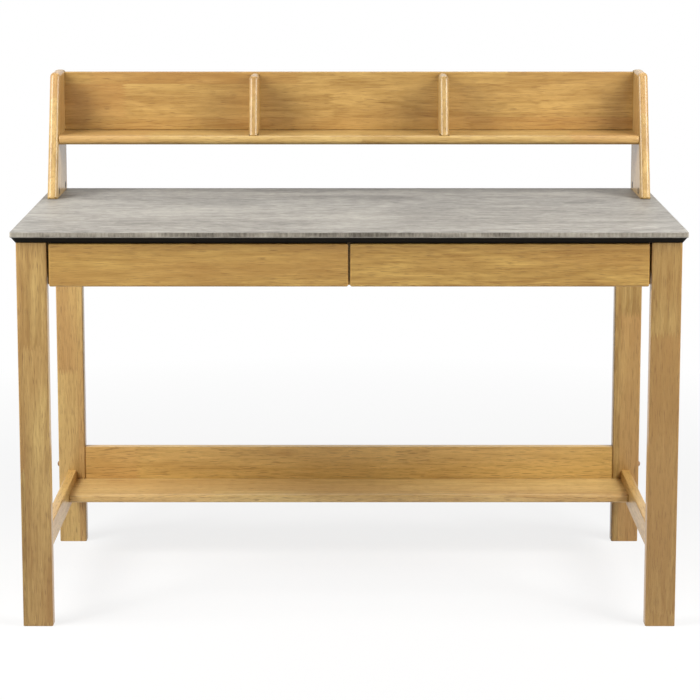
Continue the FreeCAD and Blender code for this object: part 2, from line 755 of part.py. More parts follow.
def make_cams(sides, slab):
    """Two cams at the foot of each hutch side, on bolts that stand in the worktop."""
    cams, bolts = [], []
    places = (hutch_base_front + s.cam_front_place, hutch_back_face - s.cam_rear_place)
    height = s.top_height + s.cam_reach
    for name, side in SIDES:
        face = hutch_in * side
        bolt_x = (hutch_in + s.cam_axis_deep) * side
        drill(sides[name], "x", face, s.cam_thick + s.cam_play, side,
              [(y, height) for y in places], s.cam_width + s.cam_play * 2, draw_circles)
        drill(sides[name], "z", s.top_height, s.cam_reach, 1, [(bolt_x, y) for y in places],
              s.cam_neck_room)
        drill(slab, "z", s.top_height, s.slab_thick, -1, [(bolt_x, y) for y in places],
              s.cam_bolt_thread + s.cam_play * 2)
        for y in places:
            at = spot(face, y, height)
            inward, down = Vector(-side, 0, 0), Vector(0, 0, -1)
            cams.append(cam(at, inward, down))
            bolts.append(cam_bolt(at, inward, down))
    group("cam_locks", cams)
    group("cam_bolts", bolts)


# Bolts of the rear rails
def make_rail_bolts(legs, long_rails):
    """Each long rear rail is drawn to the legs by a bolt into a barrel nut in the rail."""
    bolts, nuts, caps = [], [], []
    for name, side in SIDES:
        outward = Vector(side, 0, 0)
        leg = legs["rear", name]
        head_at = (leg_out - s.bolt_sunk) * side
        nut_x = (leg_in - s.nut_from_end) * side
        for label, height in bolt_heights.items():
            rail = long_rails[label]
            centre = [(rear_rail_mid, height)]
            well = s.bolt_sunk + s.bolt_head_long
            drill(leg, "x", leg_out * side, well, -side, centre,
                  s.bolt_head_width + s.bolt_play * 2)
            drill(leg, "x", leg_out * side, s.leg_width, -side, centre,
                  s.bolt_width + s.bolt_play * 2)
            drill(rail, "x", leg_in * side, s.nut_from_end + s.nut_width, -side, centre,
                  s.bolt_width + s.bolt_play * 2)
            drill(rail, "y", rear_rail_back, s.nut_long + s.bolt_play, -1, [(nut_x, height)],
                  s.nut_width + s.bolt_play * 2)
            head = bar(s.bolt_head_width, s.bolt_head_long)
            shank = bar(s.bolt_width, s.bolt_long, s.bolt_head_long)
            bolts.append(place(fuse(head, shank), spot(head_at, rear_rail_mid, height),
                               turned_to(-outward)))
            barrel = bar(s.nut_width, s.nut_long)
            eye = place(bar(s.bolt_width + s.bolt_play, s.nut_width * 2),
                        spot(-s.nut_width, ZERO, s.nut_long - s.board_thick / 2),
                        turned_to(AXES["x"]))
            nuts.append(place(less(barrel, eye),
                              spot(nut_x, rear_rail_back - s.nut_long, height),
                              Rotation(AXES["x"], -AXES["z"], AXES["y"], "ZXY")))
            stem = bar(s.bolt_head_width, s.cap_stem, -s.cap_stem)
            crown = frustum(s.cap_width, s.cap_top_width, s.cap_tall)
            caps.append(place(fuse(stem, crown), spot(leg_out * side, rear_rail_mid, height),
                              turned_to(outward)))
    group("rail_bolts", bolts)
    group("barrel_nuts", nuts)
    group("bolt_caps", caps)


# Steel angles and screws that hold the top
def angle_bracket(at, turn):
    upright = box((ZERO, s.angle_sheet), (-s.angle_wide / 2, s.angle_wide / 2),
                  (-s.angle_leg, ZERO))
    flat = box((ZERO, s.angle_leg), (-s.angle_wide / 2, s.angle_wide / 2),
               (-s.angle_sheet, ZERO))
    up_hole = place(bar(s.slide_hole, s.angle_sheet * 3),
                    spot(s.angle_hole_place, ZERO, -s.angle_sheet * 2))
    side_hole = place(bar(s.slide_hole, s.angle_sheet * 3),
                      spot(-s.angle_sheet, ZERO, -s.angle_hole_place), turned_to(AXES["x"]))
    return place(less(fuse(upright, flat), fuse(up_hole, side_hole)), at,
                 Rotation(AXES["z"], turn))


def make_top_fixings(rails, long_rails, backer):
    brackets, up_places = [], []
    into = s.screw_long - s.angle_sheet + s.pilot_play
    low = leg_top - s.angle_hole_place
    for name, side in SIDES:
        face = packer_in * side
        brackets.append(angle_bracket(spot(face, ZERO, leg_top), 180 if side > 0 else 0))
        frame_screws.append(screw(spot(face - s.angle_sheet * side, ZERO, low),
                                  Vector(side, 0, 0)))
        drill(rails["packer", name], "x", face, into, side, [(ZERO, low)], pilot)
        up_places.append((face - s.angle_hole_place * side, ZERO))
        x = s.angle_apart / 2 * side
        brackets.append(angle_bracket(spot(x, rear_rail_front, leg_top), -90))
        frame_screws.append(screw(spot(x, rear_rail_front - s.angle_sheet, low), AXES["y"]))
        drill(long_rails["rear_apron"], "y", rear_rail_front, into, 1, [(x, low)], pilot)
        up_places.append((x, rear_rail_front - s.angle_hole_place))
    for x, y in up_places:
        frame_screws.append(screw(spot(x, y, leg_top - s.angle_sheet), AXES["z"]))
    drill(backer, "z", leg_top, into, 1, up_places, pilot)

    rail = long_rails["front_rail"]
    rail_y = (front_rail_front + front_rail_back) / 2
    rail_places = [(leg_in * RAIL_SCREW_SHARE * side, rail_y) for _, side in SIDES]
    drill(rail, "z", front_rail_low, s.screw_well_deep, 1, rail_places, s.screw_well_width)
    drill(rail, "z", front_rail_low, s.board_thick, 1, rail_places, pilot)
    in_rail = s.board_thick - s.screw_well_deep
    drill(backer, "z", leg_top, s.screw_long - in_rail + s.pilot_play, 1, rail_places, pilot)
    for x, y in rail_places:
        frame_screws.append(screw(spot(x, y, front_rail_low + s.screw_well_deep), AXES["z"]))
    group("top_brackets", brackets)


# Ball-bearing slides. Each is drawn in its own frame: X from the cabinet to the drawer,
# Y from the slide's front end to the back, Z up from its centre line.
ball_up = s.slide_tall / 2 - s.slide_sheet - s.ball_play - s.ball_width / 2
race = s.ball_width / 2 + s.ball_play
race_out = race + s.slide_sheet
slide_front = front_back + s.slide_set_back
box_low = apron_low + s.box_lift
box_top = box_low + s.box_tall
slide_height = (box_low + box_top) / 2
box_back = front_back + s.box_long
inner_long = s.slide_long - s.slide_sheet - s.slide_stop_gap


def chord(radius, offset):
    """The other leg of a right triangle, from its long side and one leg."""
    text = f"sqrt({radius.text} * {radius.text} - {offset.text} * {offset.text})"
    return Length(text, math.sqrt(radius.number ** 2 - offset.number ** 2))


def outer_steps():
    """The cabinet member's edge: web, bend, flange, and a lip that hooks the balls. Only the
    race that the balls roll in is round."""
    ball = (s.ball_across, ball_up)
    lip = ball_up + s.lip_lift
    half = s.slide_tall / 2
    lip_bend = race_out * LIP_BEND_SHARE
    return [((ZERO, ball_up), None),
            ((race_out, half), None),
            ((s.ball_across + lip_bend, half), None),
            ((s.ball_across + race_out, ball_up + lip_bend), None),
            ((s.ball_across + race_out, lip), None),
            ((s.ball_across + chord(race, s.lip_lift), lip), None),
            ((s.ball_across, half - s.slide_sheet), (ball, race, 1)),
            ((race_out, half - s.slide_sheet), None),
            ((s.slide_sheet, ball_up), None)]


def inner_steps():
    """The drawer member's edge: web, bend, and a flange with a round groove for the balls."""
    ball = (s.ball_across, ball_up)
    flange = ball_up - s.groove_rise
    bend = (s.slide_space - s.slide_bend, flange - s.slide_bend)
    under = flange - s.slide_sheet
    return [((s.slide_space, bend[1]), None),
            ((bend[0], flange), None),
            ((s.ball_across + chord(race, s.groove_rise), flange), None),
            ((s.ball_across - s.groove_reach, ball_up - chord(race, s.groove_reach)),
             (ball, race, -1)),
            ((s.ball_across - s.groove_foot, ball_up - chord(race_out, s.groove_foot)), None),
            ((s.ball_across, ball_up - race_out), None),
            ((s.ball_across + chord(race_out, s.groove_rise + s.slide_sheet), under), None),
            ((bend[0], under), None),
            ((s.slide_space - s.slide_sheet, bend[1]), None)]


def slide_member(label, steps, length):
    """A member bent from steel sheet: its outline carried along the slide."""
    body = new_body(label)
    sketch = sketch_across(body, "y", ZERO)
    draw_bent_outline(sketch, steps + mirrored(steps))
    pad(body, sketch, "y", length)
    return body


def hole_places(length):
    return [length * share for share in SLIDE_HOLE_SHARES]


def make_outer(label):
    body = slide_member(label, outer_steps(), s.slide_long)
    half = s.slide_stop_tall / 2
    prism(body, "y", (s.slide_long - s.slide_sheet, s.slide_long),
          rectangle((ZERO, s.slide_stop_reach), (-half, half)))
    drill(body, "x", ZERO, s.slide_sheet * 2, 1,
          [(y, ZERO) for y in hole_places(s.slide_long)], s.slide_hole)
    return body


def make_inner(label):
    body = slide_member(label, inner_steps(), inner_long)
    drill(body, "x", s.slide_space, s.slide_sheet * 2, -1,
          [(y, ZERO) for y in hole_places(inner_long)], s.slide_hole)
    return body


def make_cage(label):
    """The strip that keeps the balls apart: a channel with a hole for each ball."""
    body = new_body(label)
    half = s.cage_sheet / 2
    inside, outside = s.cage_across, s.cage_across + s.cage_reach
    web = s.cage_across + s.cage_sheet
    prism(body, "y", (ZERO, s.cage_long),
          [(inside, -ball_up - half), (outside, -ball_up - half), (outside, half - ball_up),
           (web, half - ball_up), (web, ball_up - half), (outside, ball_up - half),
           (outside, ball_up + half), (inside, ball_up + half)])
    drill(body, "z", ball_up + s.ball_width, (ball_up + s.ball_width) * 2, -1,
          [(s.ball_across, y) for y in ball_places()], s.ball_width + s.ball_play * 2)
    return body


def ball_places():
    return [s.cage_long * ((i + 0.5) / BALLS_IN_ROW) for i in range(BALLS_IN_ROW)]


def make_ball(at):
    """A ball of flat facets: what three crossed bars have in common."""
    half = s.ball_width / 2
    bars = [place(bar(s.ball_width * BALL_BAR_SHARE, s.ball_width), {axis: -half},
                  turned_to(AXES[axis])) for axis in "xyz"]
    ball = doc.addObject("Part::MultiCommon", "ball")
    ball.Shapes = bars
    return place(ball, at)


def make_slide(drawer, name, turn, mount_x):
    """One slide of a drawer, standing on a plane of X. A half turn about Y faces it left."""
    way = -1 if turn else 1
    rotation = Rotation(AXES["y"], turn)
    at = spot(mount_x, slide_front, slide_height)
    cage_front = slide_front + s.slide_travel / 2 + s.cage_margin
    place(make_outer(f"{drawer}_slide_{name}_outer"), at, rotation)
    place(make_inner(f"{drawer}_slide_{name}_inner"), at, rotation)
    place(make_cage(f"{drawer}_slide_{name}_cage"), {**at, "y": cage_front}, rotation)
    balls = []
    for y in ball_places():
        for up in (-ball_up, ball_up):
            balls.append(make_ball(spot(mount_x + s.ball_across * way, cage_front + y,
                                        slide_height + up)))
    return balls


def screw_slide(cabinet, drawer_side, mount_x, way):
    """The screws of a slide: out through one web into the cabinet, and in to the drawer."""
    into = s.screw_long - s.slide_sheet + s.pilot_play
    outer = [slide_front + y for y in hole_places(s.slide_long)]
    inner = [slide_front + y for y in hole_places(inner_long)]
    drawer_x = mount_x + s.slide_space * way
    drill(cabinet, "x", mount_x, into, -way, [(y, slide_height) for y in outer], pilot)
    drill(drawer_side, "x", drawer_x, into, way, [(y, slide_height) for y in inner], pilot)
    for y in outer:
        frame_screws.append(screw(spot(mount_x + s.slide_sheet * way, y, slide_height),
                                  Vector(-way, 0, 0)))
    return [screw(spot(drawer_x - s.slide_sheet * way, y, slide_height), Vector(way, 0, 0))
            for y in inner]


# Drawers
def make_drawer(name, side, packer, partition):
    label = f"drawer_{name}"
    bay = sided(side, partition_half, packer_in)
    outer = (bay[0] + s.slide_space, bay[1] - s.slide_space)
    inner = (outer[0] + s.box_board, outer[1] - s.box_board)
    bottom_low = box_low + s.bottom_lift
    bottom_top = bottom_low + s.bottom_thick
    groove = (inner[0] - s.groove_deep, inner[1] + s.groove_deep)
    groove_z = (bottom_low - s.dowel_play, bottom_top + s.dowel_play)

    front = board(f"{label}_front",
                  sided(side, s.front_middle_gap / 2, packer_in),
                  (legs_front, front_back), (apron_low, leg_top - s.front_top_gap))
    bevel(front, s.front_bevel, lambda edge: True)
    cut(front, "y", front_back, s.groove_deep, -1, rectangle(groove, groove_z))
    back_y = (box_back - s.box_board, box_back)
    sides = {}
    for end, (low, high, wall, way) in {
            "left": (outer[0], inner[0], inner[0], -1),
            "right": (inner[1], outer[1], inner[1], 1)}.items():
        sides[end] = board(f"{label}_side_{end}", (low, high), (front_back, box_back),
                           (box_low, box_top))
        bevel(sides[end], s.box_bevel,
              lambda edge: runs_along(edge, "y") and lies_at(edge, "z", box_top))
        cut(sides[end], "x", wall, s.groove_deep, way,
            rectangle((front_back, box_back), groove_z))
        cut(sides[end], "x", wall, s.rebate_deep, way, rectangle(back_y, (bottom_top, box_top)))
    board(f"{label}_back", (inner[0] - s.rebate_deep, inner[1] + s.rebate_deep), back_y,
          (bottom_top, box_top))
    bottom = (inner[0] - s.groove_deep + s.groove_play, inner[1] + s.groove_deep - s.groove_play)
    board(f"{label}_bottom", bottom,
          (front_back - s.groove_deep + s.groove_play, box_back), (bottom_low, bottom_top))

    join_drawer(label, front, sides, outer)
    balls = make_slide(label, "left", 0, bay[0])
    balls += make_slide(label, "right", 180, bay[1])
    group(f"{label}_balls", balls)
    walls = (packer, partition) if side < 0 else (partition, packer)
    screws = screw_slide(walls[0], sides["left"], bay[0], 1)
    screws += screw_slide(walls[1], sides["right"], bay[1], -1)
    group(f"{label}_screws", screws)


def join_drawer(label, front, sides, outer):
    """Two short dowels from each side of the box into the front."""
    bore = s.drawer_dowel_width + s.dowel_play * 2
    half = s.drawer_dowel_long / 2
    heights = [share_of((box_low, box_top), share) for share in DRAWER_DOWEL_SHARES]
    middles = {"left": outer[0] + s.box_board / 2, "right": outer[1] - s.box_board / 2}
    pegs = []
    for end, middle in middles.items():
        centres = [(middle, z) for z in heights]
        for one, toward in ((front, -1), (sides[end], 1)):
            drill(one, "y", front_back, half + s.dowel_end_play, toward, centres, bore)
        for z in heights:
            pegs.append(dowel(spot(middle, front_back - half, z), "y",
                              s.drawer_dowel_width, s.drawer_dowel_long))
    group(f"{label}_dowels", pegs)


def check_and_write():
    """Sees that every object is sound, and writes each piece to its own file."""
    doc.recompute()
    for item in doc.Objects:
        if "Invalid" in item.State or "Error" in item.State:
            raise RuntimeError(f"{item.Name} ({item.Label}) failed: {item.State}")
    os.makedirs("parts", exist_ok=True)
    for label, part in parts.items():
        shape = part.Shape
        if shape.isNull() or not shape.isValid() or not shape.Solids:
            raise RuntimeError(f"{label}: its shape is missing or not valid")
        shape.exportStep(f"parts/{label}.step")
    print(len(parts), "pieces,", sum(len(part.Shape.Solids) for part in parts.values()), "solids")


def make_desk():
    slab, backer = make_slab(), make_backer()
    legs, rails = make_sides()
    long_rails, partition, foot_shelf = make_middle()
    join_frame(legs, rails, long_rails, partition, foot_shelf)
    make_cams(make_hutch(), slab)
    make_rail_bolts(legs, long_rails)
    make_top_fixings(rails, long_rails, backer)
    for name, side in SIDES:
        make_drawer(name, side, rails["packer", name], partition)
    group("wood_dowels", frame_dowels)
    group("wood_screws", frame_screws)
    check_and_write()


make_desk()
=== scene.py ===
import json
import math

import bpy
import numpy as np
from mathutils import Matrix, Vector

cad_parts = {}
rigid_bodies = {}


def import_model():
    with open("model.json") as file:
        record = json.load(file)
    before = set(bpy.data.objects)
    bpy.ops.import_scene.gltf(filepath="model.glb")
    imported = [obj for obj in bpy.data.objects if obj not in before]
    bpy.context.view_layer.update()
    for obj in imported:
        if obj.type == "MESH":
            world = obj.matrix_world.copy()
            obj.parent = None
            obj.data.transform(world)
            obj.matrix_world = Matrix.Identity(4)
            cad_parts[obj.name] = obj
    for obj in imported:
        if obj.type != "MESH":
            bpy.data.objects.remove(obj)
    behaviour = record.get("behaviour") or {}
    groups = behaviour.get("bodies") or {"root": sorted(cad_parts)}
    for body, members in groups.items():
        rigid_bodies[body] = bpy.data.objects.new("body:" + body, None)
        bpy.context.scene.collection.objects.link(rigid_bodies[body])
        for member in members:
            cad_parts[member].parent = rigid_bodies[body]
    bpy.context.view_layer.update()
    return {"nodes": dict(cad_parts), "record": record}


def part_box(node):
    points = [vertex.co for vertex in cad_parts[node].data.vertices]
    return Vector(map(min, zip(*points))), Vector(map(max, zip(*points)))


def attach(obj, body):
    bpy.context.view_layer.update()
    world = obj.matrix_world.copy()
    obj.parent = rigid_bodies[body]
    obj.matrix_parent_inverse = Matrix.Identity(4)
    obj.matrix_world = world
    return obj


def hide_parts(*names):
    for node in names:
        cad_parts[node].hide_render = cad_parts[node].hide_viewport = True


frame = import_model()

# %% [markdown]
# # A writing desk with a small hutch
# The desk is light hardwood under a satin lacquer, with a thin grey stone-look top on a black
# board. The frame that was just loaded gives every part in metres, at its true place, so each
# piece made here is worked out at the place where it stays. The loaded parts that a new
# piece stands for are hidden, and the rest keep their shape and get a better finish.

MM = 0.001
SIDES = {"left": -1, "right": 1}
# Steps in a round that is seen from near
FINE = 8

# %% [markdown]
# ## Boards with soft edges
# Every board of this desk is the same idea: an outline seen from one side, carried along a
# line square to it. What makes it look real is the edge. A joiner eases every edge with a
# small radius, and that radius catches the light as a thin bright line. A bevel modifier
# could do that on a box, but here the radius is worked out, because then each edge can have
# its own, and the true normals come from the same formula, so flat faces shade flat.


# %% An outline with round corners
def rounded_outline(corners, radii, steps=5):
    """A closed line through corners (anticlockwise), and its outward normals.

    Each corner becomes an arc. It starts radius * tan(turn / 2) before the corner, and its
    points are centre + side * radius * normal, where the normal turns evenly from the first
    edge's to the second's, and side is 1 at an outward corner and -1 at an inward one."""
    corners = np.asarray(corners, float)
    radii = np.broadcast_to(np.asarray(radii, float), len(corners))
    first = corners - np.roll(corners, 1, axis=0)
    first = first / np.linalg.norm(first, axis=1, keepdims=True)
    second = np.roll(first, -1, axis=0)
    turn = np.arctan2(first[:, 0] * second[:, 1] - first[:, 1] * second[:, 0],
                      (first * second).sum(axis=1))
    side = np.sign(turn)
    start = corners - first * (radii * np.tan(np.abs(turn) / 2))[:, None]
    normal = np.stack([first[:, 1], -first[:, 0]], axis=1)
    centre = start - normal * (side * radii)[:, None]
    angle = turn[:, None] * np.linspace(0, 1, steps + 1)
    cos, sin = np.cos(angle), np.sin(angle)
    normals = np.stack([normal[:, :1] * cos - normal[:, 1:] * sin,
                        normal[:, :1] * sin + normal[:, 1:] * cos], axis=-1)
    points = centre[:, None] + normals * (side * radii)[:, None, None]
    return points.reshape(-1, 2), normals.reshape(-1, 2)


def along_edges(sizes, steps=5):
    """A size for each point of a rounded outline: sizes[k] belongs to the edge after corner k,
    and over a corner's arc the size goes evenly from one edge's to the next one's."""
    after = np.asarray(sizes, float)
    before = np.roll(after, 1)
    share = np.linspace(0, 1, steps + 1)
    return (before[:, None] * (1 - share) + after[:, None] * share).reshape(-1)


# %% [markdown]
# ## From arrays to a mesh
# The points come out of numpy as whole arrays, so the mesh is filled in one go. The faces of
# a grid are four shifted copies of the same table of numbers. Custom normals are given to
# Blender after the faces, so the shading follows the formula and not the facets.


# %% A mesh from arrays
def new_piece(name, points, normals, faces, board=0.0, shades=(0.0, 0.0)):
    """Makes an object from points, their normals (or None) and faces. board is a number that
    tells one board's grain from another's, and shades says how much deeper its colour is than
    usual, at its lowest and at its highest point. On the legs and the foot shelf the shades
    also hold painted shade and painted light."""
    mesh = bpy.data.meshes.new(name)
    mesh.from_pydata(points.tolist(), [], [list(face) for face in faces])
    mesh.polygons.foreach_set("use_smooth", np.ones(len(mesh.polygons), bool))
    if normals is not None:
        mesh.normals_split_custom_set_from_vertices(normals.tolist())
    number = mesh.attributes.new("board", "FLOAT", "POINT")
    number.data.foreach_set("value", np.full(len(points), board))
    height = points[:, 2]
    shade = mesh.attributes.new("shade", "FLOAT", "POINT")
    shade.data.foreach_set("value", np.interp(height, (height.min(), height.max()), shades))
    piece = bpy.data.objects.new(name, mesh)
    bpy.context.collection.objects.link(piece)
    return piece


def grid_faces(rows, columns):
    """Four-sided faces between the rows of a grid whose columns close on themselves."""
    table = np.arange(rows * columns).reshape(rows, columns)
    after = np.roll(table, -1, axis=1)
    return np.stack([table[:-1], after[:-1], after[1:], table[1:]], axis=-1).reshape(-1, 4)


def carried(outline, profile, axes="xyz"):
    """A solid from an outline and a profile, as (points, normals, faces).

    point(i, j) = outline_j + normal_j * out_ij, at the height level_ij, with flat ends. axes
    says which way the outline's two directions and the height point, such as yzx."""
    (points, normals), (path, path_normals) = outline, profile
    rows, columns = path.shape[0], len(points)
    path = np.broadcast_to(path, (rows, columns, 2))
    path_normals = np.broadcast_to(path_normals, (rows, columns, 2))
    places = np.concatenate([points + normals * path[..., :1], path[..., 1:]], axis=-1)
    facing = np.concatenate([normals * path_normals[..., :1], path_normals[..., 1:]], axis=-1)
    order = [axes.index(axis) for axis in "xyz"]
    places = places.reshape(-1, 3)[:, order]
    facing = facing.reshape(-1, 3)[:, order]
    last = np.arange((rows - 1) * columns, rows * columns)
    faces = grid_faces(rows, columns).tolist() + [list(range(columns))[::-1], last.tolist()]
    return places, facing, faces


# %% The two ways an edge can run
def eased_ends(low, high, low_edges, high_edges, steps=5):
    """The profile of a board with both end edges rounded, for carried().

    At the angle a the edge lies radius * (1 - sin a) inside the outline and
    radius * (1 - cos a) from the end; a goes from 0 on the end to a quarter turn."""
    angle = np.linspace(0, np.pi / 2, steps + 1)[:, None]
    rows = []
    for end, way, radius, a in ((low, -1, low_edges, angle), (high, 1, high_edges, angle[::-1])):
        radius = np.atleast_1d(radius)[None, :]
        out = -radius * (1 - np.sin(a))
        level = end - way * radius * (1 - np.cos(a))
        slope = np.broadcast_to(np.sin(a), out.shape)
        lift = np.broadcast_to(way * np.cos(a), out.shape)
        rows.append((np.stack([out, level], axis=-1), np.stack([slope, lift], axis=-1)))
    shape = (steps + 1, max(row[0].shape[1] for row in rows), 2)
    places = [np.broadcast_to(row[0], shape) for row in rows]
    facing = [np.broadcast_to(row[1], shape) for row in rows]
    return np.concatenate(places), np.concatenate(facing)


def edge_path(corners, radii, steps=4):
    """The profile of a shaped edge, for carried(): a line through corners given as
    (out, level), each rounded, between a bottom and a top that are flat."""
    inside = min(out for out, level in corners) - 1
    closed = [(inside, corners[0][1]), *corners, (inside, corners[-1][1])]
    points, normals = rounded_outline(closed, [1e-4, *radii, 1e-4], steps)
    kept = slice(steps + 1, -(steps + 1))
    return points[kept, None], normals[kept, None]


def box_outline(low, high):
    """The four corners of a rectangle, anticlockwise."""
    return [(low[0], low[1]), (high[0], low[1]), (high[0], high[1]), (low[0], high[1])]


# %% [markdown]
# ## Who rides on what
# Each new piece moves with one body of the desk, stands for one or more loaded parts, and
# takes its finish from a slot of the record. One small function says all three, so no piece
# is forgotten.


# %% Put a piece in its place
made = {}


def settle(piece, body, slot, *nodes):
    """Makes a piece ride on its body and stand for its nodes, and notes its slot."""
    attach(piece, body)
    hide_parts(*nodes)
    made[piece.name] = slot
    return piece


def board_between(node, body, slot, axes, radius, ends, number, low=None, high=None,
                  shades=(0.0, 0.0)):
    """A straight board in a node's box: its section has round corners, and both its ends
    are eased. axes gives the section's two directions and then the board's length. low and
    high take the place of the box's own numbers where they aren't None."""
    lo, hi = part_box(node)
    lo = [a if b is None else b for a, b in zip(lo, low or (None,) * 3)]
    hi = [a if b is None else b for a, b in zip(hi, high or (None,) * 3)]
    across, up, length = ("xyz".index(axis) for axis in axes)
    outline = rounded_outline(box_outline((lo[across], lo[up]), (hi[across], hi[up])), radius)
    profile = eased_ends(lo[length], hi[length], ends, ends)
    return settle(new_piece(f"{node}_board", *carried(outline, profile, axes), number, shades),
                  body, slot, node)


# %% Every board its own piece of tree
GRAIN_NUMBERS = {"leg": (1, 2.3), "rail": (11, 1.7), "side_rail": (21, 1.9), "partition": (31, 0),
                 "foot_shelf": (33, 0), "hutch_side": (41, 3.1), "divider": (47, 2.7),
                 "hutch_shelf": (53, 0), "hutch_back": (56.757, 0), "drawer_front": (61, 4.3),
                 "box_side_left": (71, 3), "box_side_right": (72.3, 3), "box_back": (75, 3)}


def grain_number(kind, index=0):
    """The number that picks a board's grain: the first of its kind, plus a step for each
    board of that kind before it."""
    first, step = GRAIN_NUMBERS[kind]
    return first + step * index


# %% [markdown]
# ## The worktop
# The top is two boards: a grey slab with round corners and softly rounded edges, and under
# it a black board whose edge slants back to the legs. Seen from the front the slant makes
# the top look thin and leaves a dark line above the drawers. Both are one outline, seen from
# above, with a profile carried round it, so the edge's shape is drawn once and turns every
# corner by itself.

# %% Slab and backer
TOP_LOW, TOP_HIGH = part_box("worktop_slab")
BACK_LOW, BACK_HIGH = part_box("worktop_backer")
SLAB_CORNER, SLAB_TOP_EDGE, SLAB_LOW_EDGE = 5 * MM, 2.4 * MM, 1.4 * MM
SLANT_IN, SLANT_RIM, BACKER_CORNER = 8 * MM, 0.8 * MM, 1 * MM
BACKER_ROUNDS = [0.6 * MM, 0.5 * MM, 0.15 * MM]

slab_outline = rounded_outline(box_outline(TOP_LOW[:2], TOP_HIGH[:2]), SLAB_CORNER, FINE)
slab_edge = edge_path([(0, TOP_LOW[2]), (0, TOP_HIGH[2])], [SLAB_LOW_EDGE, SLAB_TOP_EDGE], 6)
slab = settle(new_piece("worktop_stone_slab", *carried(slab_outline, slab_edge)),
              "frame", "stone_top", "worktop_slab")

backer_foot = [v + SLANT_IN for v in BACK_LOW[:2]], [v - SLANT_IN for v in BACK_HIGH[:2]]
backer_outline = rounded_outline(box_outline(*backer_foot), BACKER_CORNER, FINE)
backer_edge = edge_path([(0, BACK_LOW[2]), (SLANT_IN, BACK_HIGH[2] - SLANT_RIM),
                         (SLANT_IN, BACK_HIGH[2])], BACKER_ROUNDS)
backer = settle(new_piece("worktop_black_backer", *carried(backer_outline, backer_edge)),
                "frame", "black_backer", "worktop_backer")
print("slab and backer:", len(slab.data.polygons), "and", len(backer.data.polygons), "faces")

# %% [markdown]
# ## Legs and rails
# The legs are flat boards with a generous radius on their long edges. The rails between them
# are thinner and only lightly eased. Each of them gets a number of its own, which the wood
# finish reads, so that no two boards come out of the same piece of tree.

# %% Four legs
LEG_ROUND, LEG_END = 3.2 * MM, 1.2 * MM
# Each leg's depth of colour at its foot and at its top. The front legs are painted deeper towards
# the floor, which is painted shade where less light reaches. The legs' overall depths, such as the
# paler rear left leg, are partly painted light and partly each board's own tone.
LEG_TONE_AND_PAINTED_SHADE = {"front_leg_left": (0.42, 0.1), "front_leg_right": (0.46, 0.34),
              "rear_leg_left": (-0.3, -0.35), "rear_leg_right": (0.24, 0.2)}
for index, (node, shades) in enumerate(LEG_TONE_AND_PAINTED_SHADE.items()):
    board_between(node, "frame", "leg_wood", "xyz", LEG_ROUND, LEG_END,
                  grain_number("leg", index), shades=shades)
print(len(LEG_TONE_AND_PAINTED_SHADE), "legs, their long edges rounded by", round(LEG_ROUND / MM, 1), "mm")

# %% Rails and packers
RAIL_ROUND, RAIL_END = 1.4 * MM, 0.8 * MM
LONG_RAILS = ["rear_apron", "rear_stretcher", "front_rail"]
PACKERS = ["slide_packer_left", "slide_packer_right"]
for index, node in enumerate(LONG_RAILS + PACKERS):
    board_between(node, "frame", "rail_wood", "yzx" if node in LONG_RAILS else "zxy",
                  RAIL_ROUND, RAIL_END, grain_number("rail", index))

SIDE_RAIL_ROUND, TUCKED_END = 2.2 * MM, 0.2 * MM
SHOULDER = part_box("rear_leg_left")[0][1]
for index, node in enumerate(["side_apron_left", "side_apron_right",
                              "side_stretcher_left", "side_stretcher_right"]):
    board_between(node, "frame", "rail_wood", "zxy", SIDE_RAIL_ROUND, TUCKED_END,
                  grain_number("side_rail", index),
                  low=(None, -SHOULDER, None), high=(None, SHOULDER, None))

# %% The partition, notched under the front rail
PARTITION_ROUND, PARTITION_END = 1 * MM, 0.8 * MM
PARTITION_LOW, PARTITION_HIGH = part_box("centre_partition")
RAIL_LOW, RAIL_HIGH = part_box("front_rail")
partition_side = rounded_outline(
    [(PARTITION_LOW[1], PARTITION_LOW[2]), (PARTITION_HIGH[1], PARTITION_LOW[2]),
     (PARTITION_HIGH[1], PARTITION_HIGH[2]), (RAIL_HIGH[1], PARTITION_HIGH[2]),
     (RAIL_HIGH[1], RAIL_LOW[2]), (PARTITION_LOW[1], RAIL_LOW[2])], PARTITION_ROUND)
partition_edges = eased_ends(PARTITION_LOW[0], PARTITION_HIGH[0], PARTITION_END, PARTITION_END)
settle(new_piece("centre_partition_board", *carried(partition_side, partition_edges, "yzx"),
                 grain_number("partition")), "frame", "rail_wood", "centre_partition")
print("pieces so far:", len(made))

# %% [markdown]
# ## The foot shelf
# Low at the back a deep board with a round nose carries the feet. It is notched round the
# rear legs. Its outline is drawn from above, and the radius differs from edge to edge: large
# along the nose, hardly any where the board meets the side rails. Its rear edge is rounded a
# little and stops just short of the rear rail, so the joint shows as a fine dark line.

# %% Foot shelf
SHELF_LOW, SHELF_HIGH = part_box("foot_shelf")
NOTCH_X, NOTCH_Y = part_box("rear_leg_right")[0][:2]
NOSE_TOP, NOSE_UNDER, BARELY = 6.5 * MM, 3.5 * MM, 0.3 * MM
FRONT_CORNER, NOTCH_CORNER, REAR_CORNER = 2 * MM, 0.4 * MM, 0.9 * MM
JOINT_LINE, JOINT_ROUND = 1 * MM, 1.6 * MM
